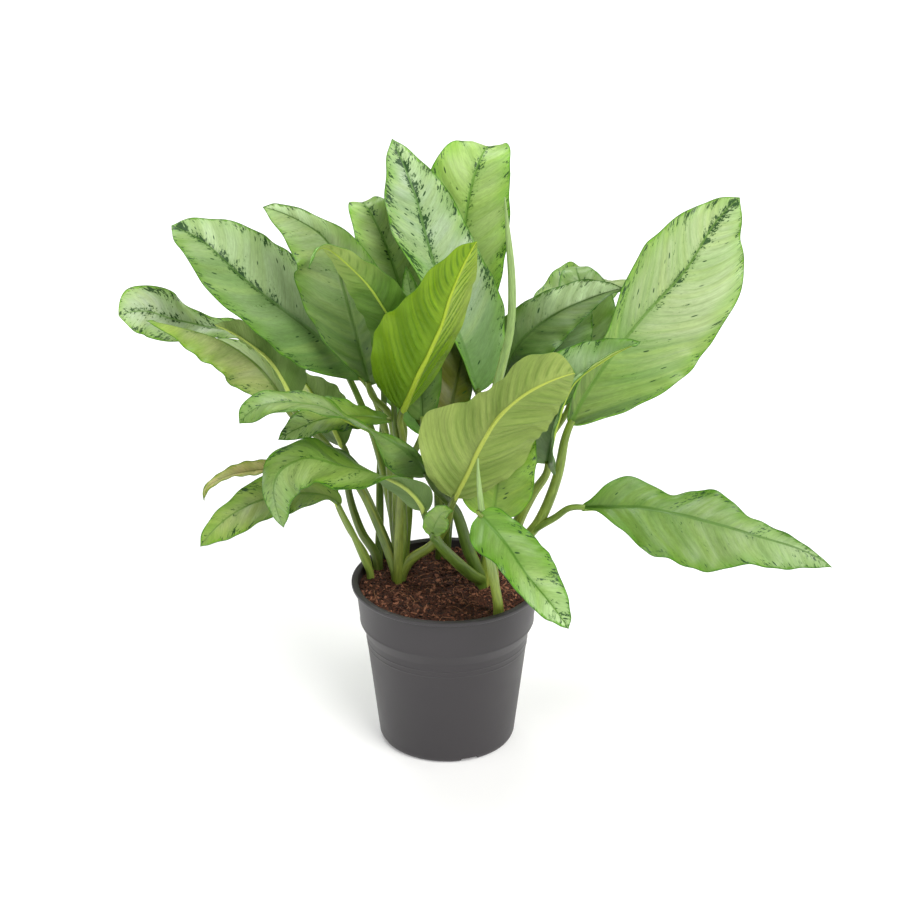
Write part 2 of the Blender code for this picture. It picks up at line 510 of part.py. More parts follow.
def build_pot(material):
    outline = [(0, 0)] + POT_OUTSIDE + POT_INSIDE + [(0, 3)]
    points, faces = lathe_solid(outline, POT_SIDES)
    pot = make_object("pot", points, faces, material)
    cutters = []
    for number, degrees in enumerate(DRAIN_ANGLES):
        a = math.radians(degrees)
        out = np.array([math.cos(a), math.sin(a), 0])
        over = np.array([-math.sin(a), math.cos(a), 0]) * DRAIN_WIDTH / 2
        near, far = DRAIN_REACH
        floor = [out * near - over, out * far - over, out * far + over, out * near + over]
        box = [p + (0, 0, -2) for p in floor] + [p + (0, 0, DRAIN_TOP) for p in floor]
        sides = [(0, 1, 5, 4), (1, 2, 6, 5), (2, 3, 7, 6), (3, 0, 4, 7), (3, 2, 1, 0), (4, 5, 6, 7)]
        cutters.append(make_object(f"slot_{number}", np.array(box) * MM, sides, None))
    return combine(pot, cutters, "DIFFERENCE")


def soil_height(x, y):
    """Height of the soil surface, rougher towards the back."""
    r = math.hypot(x, y)
    rough = SOIL_ROUGH * (1 + max(y, 0) / 90)
    bumps = math.sin(x * 0.19 + 1.3) * math.cos(y * 0.23) + 0.6 * math.sin(x * 0.41 - y * 0.33)
    return SOIL_CROWN - SOIL_FALL * (r / 87) ** 2 + rough * bumps * 0.6 * max(0.0, 1 - (r / 87) ** 4)


def build_soil(material):
    outline = [(0, SOIL_WALL[0][1])] + SOIL_WALL + [(r, 0) for r in SOIL_RINGS] + [(0, 0)]
    points, faces = lathe_solid(outline, SOIL_SIDES)
    crown = len(SOIL_WALL) * SOIL_SIDES + 1
    for i in range(crown, len(points)):
        x, y = points[i, :2] / MM
        points[i, 2] = soil_height(x, y) * MM
    soil = make_object("soil", points, faces, material)
    holes = []
    for row in STEMS.values():
        x, y, z = row["foot"]
        low = z - FOOT_DEPTH - HOLE_PLAY
        points, faces = peg_solid(x, y, row["radius"] + HOLE_PLAY, low, z + 30, 1)
        holes.append(make_object("hole", points, faces, None))
    return combine(soil, holes, "DIFFERENCE")


def stalk_path(foot, foot_radius, leaf, via, radii, branch):
    """The points of a stalk from inside its foot, or from its first point, to its leaf."""
    via = [np.array(p, float) for p in via]
    foot = np.array(foot, float)
    path = []
    if not branch:
        lean = via[0] - foot
        lean[2] = 0
        lean *= min(1, 0.8 * (foot_radius - radii[0]) / max(np.linalg.norm(lean), 1e-6))
        path = [foot + lean + (0, 0, -7), foot + lean + (0, 0, 4)]
    path += via
    if leaf:
        rib, heading = rib_at(LEAVES[leaf]["rib"], np.zeros(1))
        base, ahead = rib[0], heading[0]
        gap = np.linalg.norm(via[-1] - base)
        path.append(base - ahead * min(12, 0.35 * gap))
        path.append(base - ahead * STALK_END_GAP)
    return path


def build_stem(name, row, material):
    x, y, z = row["foot"]
    r = row["radius"]
    points, faces = peg_solid(x, y, r, z - FOOT_DEPTH, z + FOOT_RISE, FOOT_BEVEL)
    stem = make_object(name, points, faces, material)
    stalks = []
    for leaf, via, radii, *branch in row["stalks"]:
        path = stalk_path(row["foot"], r, leaf, via, radii, branch)
        points, faces = tube_solid(path, radii, STALK_SIDES)
        stalks.append(make_object("stalk", points, faces, material))
    combine(stem, stalks, "UNION")
    tidy_mesh(stem, 0.02)
    return stem


def main():
    for thing in list(bpy.data.objects):
        bpy.data.objects.remove(thing)
    pot_plastic = paint("pot plastic", (0.07, 0.07, 0.075), 0.45)
    soil_mix = paint("soil", (0.07, 0.035, 0.022), 0.95)
    stem_skin = paint("stem", (0.16, 0.27, 0.06), 0.5)
    leaf_skin = paint("leaf", (0.22, 0.42, 0.16), 0.45)
    build_pot(pot_plastic)
    build_soil(soil_mix)
    for name, row in STEMS.items():
        build_stem(name, row, stem_skin)
    for name, leaf in LEAVES.items():
        points, faces = blade_solid(leaf)
        make_object(name, points, faces, leaf_skin)


main()
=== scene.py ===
"""Looks of the potted foliage plant: finer leaves, stalks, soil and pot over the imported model.

Places and sizes are in millimetres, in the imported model's frame: x to the right,
y to the back, z up, with the pot standing on z = 0.
"""
import math
import random

import bmesh
import bpy
import numpy as np
from mathutils import Euler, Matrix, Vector, noise


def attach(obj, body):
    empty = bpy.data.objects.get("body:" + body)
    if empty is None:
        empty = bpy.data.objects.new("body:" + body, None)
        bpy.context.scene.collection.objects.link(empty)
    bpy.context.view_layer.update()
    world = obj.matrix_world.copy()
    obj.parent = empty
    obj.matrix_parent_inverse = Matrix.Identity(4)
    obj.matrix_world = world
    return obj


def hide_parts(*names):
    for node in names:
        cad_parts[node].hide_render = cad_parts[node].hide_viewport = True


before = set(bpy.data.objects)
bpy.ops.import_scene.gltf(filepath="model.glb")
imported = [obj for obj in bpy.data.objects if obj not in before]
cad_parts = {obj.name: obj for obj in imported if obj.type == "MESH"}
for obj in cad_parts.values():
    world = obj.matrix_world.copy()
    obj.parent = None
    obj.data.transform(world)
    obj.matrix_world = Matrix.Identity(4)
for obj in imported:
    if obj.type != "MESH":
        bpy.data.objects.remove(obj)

MM = 0.001
WHITE = (1, 1, 1, 1)

# camera and light
CAMERA_PLACE = (0.003, -2.219, 1.3)
CAMERA_TILT = 66
WORLD_LIGHT = 0.24
FLOOR_GLOW = 0.24
FLOOR_HALF = 30
FLOOR_DROP = 0.0003
KEY_LIGHT = 2.95
FILL_LIGHT = 0.5
TOP_LIGHT = 2.3

# pot
POT_SIDES = 144
POT_FOOT = [(61, 0), (64, 0.3), (66.3, 1.4), (67.4, 3), (68.3, 5.4), (68.5, 7)]
POT_WALL_TOP = (81.5, 118)
POT_RIDGES = (104.5, 110.5)
RIDGE = 0.35
POT_TOP = [
    (82, 119.2), (84, 123.6), (86.1, 128), (86.7, 129.3), (87.05, 130.2), (87.1, 130.8), (86.95, 131.4),
    (86.9, 132.6), (90.3, 164), (90.4, 165.2), (90.8, 166.8), (92, 167.4), (94, 167.8), (94.7, 168.4),
    (95, 169.5), (95, 170.8), (94.7, 171.6), (94, 172), (90, 172), (89, 171.6), (88.4, 171), (88.2, 167),
    (85.1, 131.5), (79, 118), (66.7, 8), (65, 4.6), (61.5, 3)]
DRAIN_ANGLES = (-70, 20, 110, 200)
DRAIN_WIDTH = 18
DRAIN_REACH = (60, 74)
DRAIN_HEIGHTS = (-2, 4)

# soil
SOIL_SIDES = 150
SOIL_WALL = [(61.2, 3.4), (64.5, 5), (66.2, 8.4), (78.5, 118.4), (84.6, 131.9), (87.5, 163.5)]
SOIL_RINGS = 50
SOIL_EDGE = 87
SOIL_CROWN = 168
SOIL_FALL = 4
SOIL_ROUGH = 1.3
CHIPS = 4200
CHIP_REACH = 85
CHIP_SIZES = (0.6, 0.8, 1, 1.2, 1.5, 2.2)
FIBRES = 110
FIBRE_REACH = 82
FIBRE_LIMIT = 84
FIBRE_STEP = 1.9

# leaves and stalks
STATION_STEP = 2.2
LANE_STEP = 2.4
RIB_LANES = (0, 0.45, 0.8, 1, 1.25)
BLADE_THICK = 0.5
RIB_BASE = 2.1
RIB_TIP = 0.35
TIP_PINCH = 0.12
TIP_POINT = 0.45
TIP_REACH = 0.045
CURVE_EASE = 0.35
BEND_PARTS = 8
BEND_EASE = 0.35
FRILL = 1.4
RAGGED = 0.013
FRILL_COUNT = 3.3
WAVE_OFFSET = 1.9
VEIN_STEP = 11
VEIN_LEAN = 0.55
VEIN_OFFSET = 0.7
BILLOW = 2.2
BILLOW_LENGTH = 47
BILLOW_ROOM = 30
FEATHER_REACH = (5.5, 8.5)
# Default tint of leafy stalks: partly their own colour, partly painted shade.
STALK_TINT = (246, 246, 246)
STALK_SIDES = 20
RING_STEP = 4
SHEATH_HOLLOW = 0.5
SHEATH_LIP = 0.9
STALK_INTO_BLADE = 4
SMOOTH_ANGLE = 52
POT_SMOOTH_ANGLE = 35

# What a leaf has unless its row says otherwise. Each row begins with the midrib,
# the full width and where the upper side faces. Lists run from base to tip. fold,
# trim and halves hold both halves: degrees lifted, share left, painted shade (below
# 0: painted light). wave: height, count and start of the margin's waves. form: how
# blunt base and tip are. dark: how flecked. feather: how marked along the midrib.
# base: how much painted shade, and tip: how much painted light that end has. pleat
# and arch: depth and curve of the ripples between side veins, whose valleys also
# get painted shade. upper and under: the colour of each face, partly the leaf's own
# and partly painted light and shade, darker on shaded leaves.
SHARED = dict(
    fold=(15, 15), trim=(1, 1), wave=(4, 2.5, 0), form=(0.5, 0.85),
    upper=(150, 188, 118), under=(136, 164, 70), dark=0.5, pleat=0.7, arch=0.45, feather=0.6,
    base=0.6, tip=0.15, halves=(0, 0))


def leaf(rib, width, face, **own):
    """A row of LEAVES."""
    return {**SHARED, "rib": rib, "width": width, "face": face, **own}


LEAVES = dict(
    # left side, high and long
    leaf_01=leaf([(-123, 122, 363), (-182, 106, 388), (-232, 88, 405), (-268, 70, 421), (-294, 56, 435),
        (-318, 46, 434)], 67, [(0, 0, 1), (0, 0, 1), (0, -0.2, 1), (0, -0.5, 0.8), (-0.2, -0.9, 0.5),
        (-0.3, -0.9, 0.1)], fold=(15, 10), trim=((1, 0.7, 0.6, 0.8, 1.5), (1, 0.6, 0.4, 0.8, 1.7)),
        wave=(4, 2, 0.5), form=(0.5, 0.45), upper=(180, 196, 165), dark=0.75, pleat=0.8, feather=0.8,
        base=0.7, tip=0.2),
    leaf_02=leaf([(-158, 40, 343), (-185, 34, 388), (-217, 24, 417), (-255, 12, 435), (-286, 4, 445)], 73,
        [(-0.2, -0.8, 0.6), (-0.2, -0.7, 0.7), (-0.1, -0.6, 0.85), (0, -0.6, 0.8)], fold=(-10, -76),
        trim=((0.6, 0.83, 0.9, 0.95, 1.05), 1), wave=(4, 2.5, 0.5), form=(0.45, 0.9), upper=(162, 174, 112),
        dark=0.4, pleat=1, base=0.2, tip=0, halves=((0, 0, 0.6), (-0.8, -0.5, 0.45))),
    leaf_03=leaf([(-151, 20, 356), (-167, 16, 394), (-190, 10, 420), (-221, 2, 442)], 57, [(0.4, 0.9, 0.1),
        (0.4, 0.9, 0), (0.3, 0.9, 0.1)], fold=(55, 55), wave=(2, 2.5, 0), under=(144, 168, 100), base=0.9,
        tip=0.1, halves=((0.6, 0, 0), (-0.4, 0, 0.2))),
    leaf_04=leaf([(-84, 48, 367), (-134, 34, 425), (-171, 28, 458), (-200, 28, 484), (-229, 32, 512),
        (-262, 40, 528)], 103, [(0.4, -0.7, 0.5), (0.4, -0.7, 0.5), (0.3, -0.7, 0.6)], fold=((0, 15, 35, 30),
        (25, 20, 15)), trim=((0.4, 0.8, 0.93, 1.17, 1.35), (1, 1, 1, 0.98, 0.9)), form=(0.5, 0.6),
        upper=(133, 157, 108), dark=0.6, feather=1.25, base=0.85, tip=0.1, halves=((0.1, 0.45, 0.05),
        (0, -0.45, -0.3))),
    leaf_05=leaf([(-75, 20, 372), (-85, 15, 419), (-97, 12, 471), (-112, 13, 520), (-138, 17, 540),
        (-173, 20, 553)], 90, [(-0.3, -0.9, 0.2), (-0.2, -0.85, 0.4), (0, -0.6, 0.8), (0, -0.5, 0.9)],
        fold=((35, 15, 5, 5), (25, 30, 65, 85)), trim=((0.3, 0.8, 0.95, 1.14, 1.1), (1, 1.2, 1.3, 0.5, 0.6)),
        wave=(3, 2, 0), form=(0.6, 0.7), upper=(136, 155, 106), dark=0.4, base=0.9, tip=0.2,
        halves=((0.35, 0.5, -0.1), (0.5, 0.5, -1))),
    # middle, in front and behind
    leaf_06=leaf([(-49, -10, 381), (-48, -24, 440), (-66, -38, 486), (-93, -50, 523), (-114, -58, 540),
        (-126, -66, 523)], 52, [(0.2, 0.9, 0.1), (0.2, 0.9, 0.1), (0.1, 0.9, 0.4), (-0.3, -0.2, 0.9)],
        fold=(15, 5), wave=(2, 2.5, 0), form=(0.4, 0.9), under=(99, 133, 51), pleat=1.6, base=0.9, tip=0.35),
    leaf_07=leaf([(-42, -20, 362), (-28, -40, 405), (-7, -62, 461), (8, -78, 514), (27, -82, 555)], 105,
        [(0.1, 0.9, 0.3), (-0.2, 0.9, 0.3), (-0.3, 0.8, 0.4)], fold=((65, 55, 30), 20),
        trim=(1, (1, 1, 1, 0.85, 1)), wave=(3, 2, 0), form=(0.5, 0.75), under=(121, 155, 19), pleat=2.8,
        arch=1.1, base=0.5, tip=0.05, halves=((0.1, -0.35, -0.1), (0.25, 0.1, 0.15))),
    leaf_08=leaf([(30, 34, 358), (15, 40, 406), (-1, 50, 449), (-18, 66, 499), (-31, 82, 545),
        (-53, 102, 595)], 107, [(0.3, -0.9, 0.3), (0.2, -0.85, 0.4), (0.05, -0.85, 0.4)],
        fold=((40, 36, 30, 15), 5), trim=((0.15, 0.15, 0.28, 0.5, 0.82, 1, 1.1), (1, 1, 0.9, 0.85, 0.8)),
        form=(0.5, 0.75), upper=(160, 182, 145), dark=0.75, feather=1.15, tip=0.05,
        halves=((0.75, 0.4, -0.05), (0.4, -0.05, -0.6))),
    leaf_09=leaf([(25, 84, 388), (16, 98, 462), (20, 112, 522), (30, 124, 561), (39, 142, 573),
        (43, 175, 559)], 88, [(0, -0.95, 0.3), (0, -0.9, 0.4), (0, -0.8, 0.6), (0, 0.2, 1)], fold=(12, 12),
        trim=((1, 1, 1, 1.12, 1.1), 1), wave=(2, 2, 0), form=(0.75, 0.8), upper=(150, 181, 100), dark=0.6,
        feather=1.05, base=0.5, tip=0.1),
    leaf_10=leaf([(-15, 62, 355), (-43, 82, 442), (-65, 92, 504), (-79, 104, 526), (-86, 137, 515)], 82,
        [(0.2, -0.95, 0.2), (0.2, -0.9, 0.3), (0.1, -0.8, 0.5), (0, 0, 1)], wave=(3, 2, 0),
        upper=(156, 182, 116), dark=0.6, feather=0.9, base=0.5, tip=0),
    leaf_11=leaf([(-24, 6, 341), (-25, 7, 375), (-28, 7.4, 432), (-35, 8.6, 476), (-39, 10, 498)], 42,
        [(0, -0.95, 0.2), (0, -0.95, 0.3)], wave=(2, 2, 0), form=(0.42, 0.8), upper=(114, 133, 89),
        dark=0.4),
    leaf_12=leaf([(8, -60, 289), (21, -75, 325), (36, -90, 365), (55, -103, 399), (85, -110, 425),
        (117, -108, 437)], 103, [(0.1, 0.9, 0.4), (0, 0.9, 0.4), (0.1, 0.9, 0.3)],
        fold=(8, (0, 0, 30, 60, 60, 50, 30)), trim=((0.6, 0.8, 0.95, 0.95, 1, 1, 1),
        (0.7, 0.95, 1.2, 0.7, 0.5, 0.8, 1)), wave=(2, 3, 0), form=(0.3, 0.38), under=(139, 158, 79),
        pleat=1.8, base=0.3, tip=0.05, halves=((0, 0.3, 0.3), (-0.2, 0, 0))),
    # right side
    leaf_13=leaf([(119, -5, 341), (138, 5, 377), (185, 25, 437), (229, 42, 483), (258, 60, 525),
        (281, 70, 546)], 118, [(0, -0.9, 0.4), (0.1, -0.9, 0.5), (0, -0.9, 0.5)], fold=((45, 45, 30),
        (0, 0, 10)), trim=((0.3, 0.35, 0.4, 0.75, 1.06, 0.98, 0.66), (0.6, 0.95, 1.12, 1.16, 1.14, 1.08, 1)),
        wave=(3, 3, 0), form=(0.45, 0.6), upper=(154, 176, 120), dark=0.6, pleat=1.25, arch=0.8, feather=1.3,
        base=1, halves=((1.1, 0.1, -0.1), (0.7, 0, -0.25))),
    leaf_14=leaf([(131, -6, 253), (147, -10, 255), (191, -22, 260), (245, -35, 254), (303, -45, 240),
        (346, -52, 228), (373, -55, 212)], 84, [(0, -0.5, 0.9), (0, -0.5, 0.9), (0, -0.6, 0.8),
        (0, -0.7, 0.7)], fold=((75, 15, 0, 0, 0, 0), (30, 0, -5, -10, -5, 0)),
        trim=((0.4, 0.84, 0.6, 0.82, 0.58, 0.34, 0.4), (0.1, 0.72, 1.28, 1.28, 1, 1.12, 1.1)),
        wave=(6, 3, -1.25), form=(0.5, 0.8), upper=(112, 140, 74), dark=0.45, pleat=0.8, base=0.4, tip=0.3,
        halves=((0, 0, -0.1), (-0.3, 0, 0))),
    leaf_15=leaf([(97, -25, 308), (104, -38, 355), (119, -42, 399), (146, -40, 421), (182, -35, 439)], 76,
        [(-0.2, -0.8, 0.5), (-0.3, -0.7, 0.6), (-0.1, -0.7, 0.7), (0, -0.7, 0.7)], fold=(25, (60, 80, 95)),
        wave=(2, 2.5, 0), form=(0.4, 0.8), upper=(131, 157, 110), dark=0.55, base=0.3, tip=0,
        halves=((-0.3, -0.2, 0), (0, -0.5, -0.2))),
    leaf_16=leaf([(55, 58, 353), (70, 60, 398), (104, 64, 427), (139, 68, 443), (172, 72, 453)], 84,
        [(-0.4, -0.8, 0.3), (-0.3, -0.9, 0.3), (-0.3, -0.9, 0.3), (0, -0.8, 0.5)], fold=(5, (20, 50, 85)),
        trim=((1, 0.9, 0.7, 0.65, 0.7, 0.9, 1), 1), wave=(2, 2.5, 0), upper=(104, 124, 81), pleat=0.8,
        base=0.9, tip=0, halves=((0.7, -0.3, -1.3), (0.9, 0.4, 0))),
    leaf_17=leaf([(125, 122, 313), (137, 134, 379), (136, 142, 423), (131, 152, 440), (132, 177, 436)], 75,
        [(0, -0.95, 0.3), (0, -0.9, 0.4), (0, -0.8, 0.6), (0, 0, 1)], fold=(5, 5), wave=(3, 2, 0),
        upper=(112, 140, 76), dark=0.4, base=0.9, tip=0.2),
    leaf_18=leaf([(93, 74, 323), (106, 84, 381), (118, 92, 405), (132, 100, 427), (144, 108, 437)], 80,
        [(-0.3, -0.9, 0.3), (-0.3, -0.9, 0.3)], fold=(55, 15), wave=(2, 2, 0), upper=(153, 178, 144),
        dark=0.3),
    # low leaves of the middle and the front
    leaf_19=leaf([(3, 15, 316), (5, 32, 346), (13, 48, 382), (19, 60, 414)], 84, [(0.1, -0.95, 0.2),
        (0.1, -0.95, 0.3)], fold=(5, 5), trim=(1, 0.4), wave=(2, 2, 0), upper=(83, 87, 8), dark=0.3,
        base=0.3),
    leaf_20=leaf([(-14, -66, 252), (-9, -78, 274), (-3, -90, 288), (6, -98, 293)], 25, [(0, -0.9, 0.3),
        (0, -0.9, 0.5)], fold=(5, 5), wave=(1, 2, 0), upper=(150, 166, 114), dark=0.3,
        halves=((0.5, 0.4, 0.3), (0.6, 0.5, 0.3))),
    leaf_21=leaf([(45, -46, 263), (48, -50, 298), (54, -52, 335), (64, -48, 370), (74, -40, 397)], 73,
        [(-0.1, -0.95, 0.3), (-0.1, -0.95, 0.3)], wave=(3, 2.5, 0), form=(0.4, 0.8), upper=(166, 188, 96),
        dark=0.4, halves=((0.2, 0.4, 0.4), (0, 0.6, 0.6))),
    leaf_22=leaf([(31, -88, 285), (53, -104, 265), (75, -118, 236), (99, -126, 208), (115, -128, 184)], 59,
        [(-0.2, -0.7, 0.6), (0.1, -0.85, 0.5), (0.2, -0.9, 0.3)], fold=(0, (0, 45, 20)),
        trim=((0.9, 0.75, 0.9, 1.03, 1.03, 1, 1.05), (1, 1, 0.8, 0.85, 0.9, 0.9, 0.7)), wave=(2, 2.5, 0),
        form=(0.35, 0.65), upper=(126, 160, 78), dark=0.45, pleat=0.8, feather=0.45, halves=((0, 0, -0.3),
        (0, -0.1, -0.6))),
    # low leaves of the left
    leaf_23=leaf([(-22, -62, 275), (-37, -68, 302), (-63, -72, 319), (-96, -76, 329), (-133, -82, 340),
        (-159, -90, 326), (-154, -92, 273)], 86, [(0.6, 0.6, 0.5), (0.2, 0.2, 1), (0, 0, 1), (0, 0, 1),
        (-0.2, -0.3, 0.9), (-0.7, -0.7, 0.2), (-0.7, -0.7, 0)], fold=((55, 35, -14, -19, -14, -4),
        (-50, -30, 0, 0, 0)), trim=((0.7, 0.6, 0.65, 0.85, 0.9, 0.9, 0.9),
        (0.6, 0.62, 0.9, 0.9, 0.75, 0.65, 0.8)), wave=(3, 2, 0), form=(0.5, 0.65), upper=(124, 151, 76),
        under=(118, 140, 88), dark=0.55, pleat=0.8, tip=0.25, halves=((0, 0, 0.1), (0, 0.6, -0.1))),
    leaf_24=leaf([(-18, -42, 303), (-33, -42, 324), (-54, -42, 341), (-92, -45, 362), (-123, -50, 380),
        (-171, -57, 384), (-195, -60, 366)], 80, [(-0.5, -0.8, 0.3), (-0.2, -0.5, 0.7), (0, 0.2, 1),
        (0, 0, 1), (0, 0, 1), (-0.5, -0.7, 0.5)], fold=(10, (10, 0, 15, 20)),
        trim=((0.7, 0.75, 0.9, 1.05, 1.2, 1.2, 1.1), (0.3, 0.2, 0.2, 0.4, 0.7, 0.85, 1)), wave=(3, 2, 0),
        form=(0.4, 0.65), upper=(128, 151, 94), dark=0.65, tip=0.1, halves=((0, 0.2, 0), (0.3, 0, 0))),
    leaf_25=leaf([(-54, -4, 345), (-84, -7, 351), (-117, -12, 350), (-141, -17, 343), (-162, -21, 332)], 55,
        [(0, -0.1, 1), (0, -0.3, 0.9), (-0.2, -0.7, 0.7)], trim=(1, (0.4, 0.6, 0.9, 1, 1)), wave=(2, 2, 0),
        upper=(127, 154, 65), dark=0.75, base=0.8, tip=0.5),
    leaf_26=leaf([(-104, 62, 288), (-118, 64, 318), (-134, 69, 344), (-149, 75, 365)], 80, [(0.3, 0.8, 0.5),
        (0.3, 0.8, 0.5)], fold=(20, 20), trim=((0.3, 0.5, 0.65, 0.75, 0.8, 0.9, 1), 1), wave=(3, 2, 0),
        under=(129, 154, 82), base=0.9, tip=0.3, halves=((0.3, 0.3, 0.2), (0.8, 0.2, -0.6))),
    leaf_27=leaf([(-106, 16, 243), (-116, 12, 256), (-144, 0, 265), (-180, -12, 264), (-213, -22, 250),
        (-241, -25, 220)], 61, [(-0.1, -0.2, 1), (-0.1, -0.5, 0.85), (-0.2, -0.6, 0.8)], fold=(10, 10),
        trim=((0.6, 0.6, 0.7, 0.9, 1.15, 1.2, 1.1), (1, 1, 0.8, 0.75, 0.7, 0.75, 0.8)), wave=(4, 2, 0),
        form=(0.5, 0.75), upper=(155, 174, 106), dark=0.65, base=0.3, halves=((0.6, 0.1, 0.2),
        (-0.3, 0.2, 0.2))),
    leaf_28=leaf([(-117, 52, 256), (-156, 44, 271), (-195, 36, 273), (-222, 28, 269), (-237, 22, 261),
        (-240, 18, 249)], 23, [(0, -0.6, 0.8), (0, -0.6, 0.8)], fold=(50, 30), wave=(2, 3, 0),
        upper=(195, 173, 147), dark=0.2),
    # leaves that arch to the back
    leaf_29=leaf([(-70, 150, 330), (-100, 195, 375), (-130, 250, 385), (-150, 300, 355), (-160, 330, 320)],
        91, [(0, 0, 1), (-0.2, 0.3, 1), (-0.4, 0.8, 0.5)]),
    leaf_30=leaf([(4, 150, 400), (8, 200, 445), (12, 260, 462), (14, 310, 440), (15, 340, 400)], 95,
        [(0, 0, 1), (0, 0.2, 1), (0, 0.8, 0.5)]),
    leaf_31=leaf([(95, 150, 345), (130, 200, 385), (165, 250, 395), (192, 290, 365), (205, 315, 325)], 91,
        [(0, 0, 1), (0.2, 0.3, 1), (0.6, 0.6, 0.5)], upper=(134, 154, 100)),
    leaf_32=leaf([(-20, 130, 270), (-35, 175, 300), (-45, 225, 300), (-50, 265, 275), (-52, 290, 240)], 76,
        [(0, 0, 1), (0, 0.2, 1), (0, 0.8, 0.5)]),
    leaf_33=leaf([(40, 130, 240), (48, 170, 268), (55, 215, 268), (60, 250, 240)], 73, [(0, 0, 1),
        (0, 0.2, 1), (0, 0.8, 0.5)]),
)

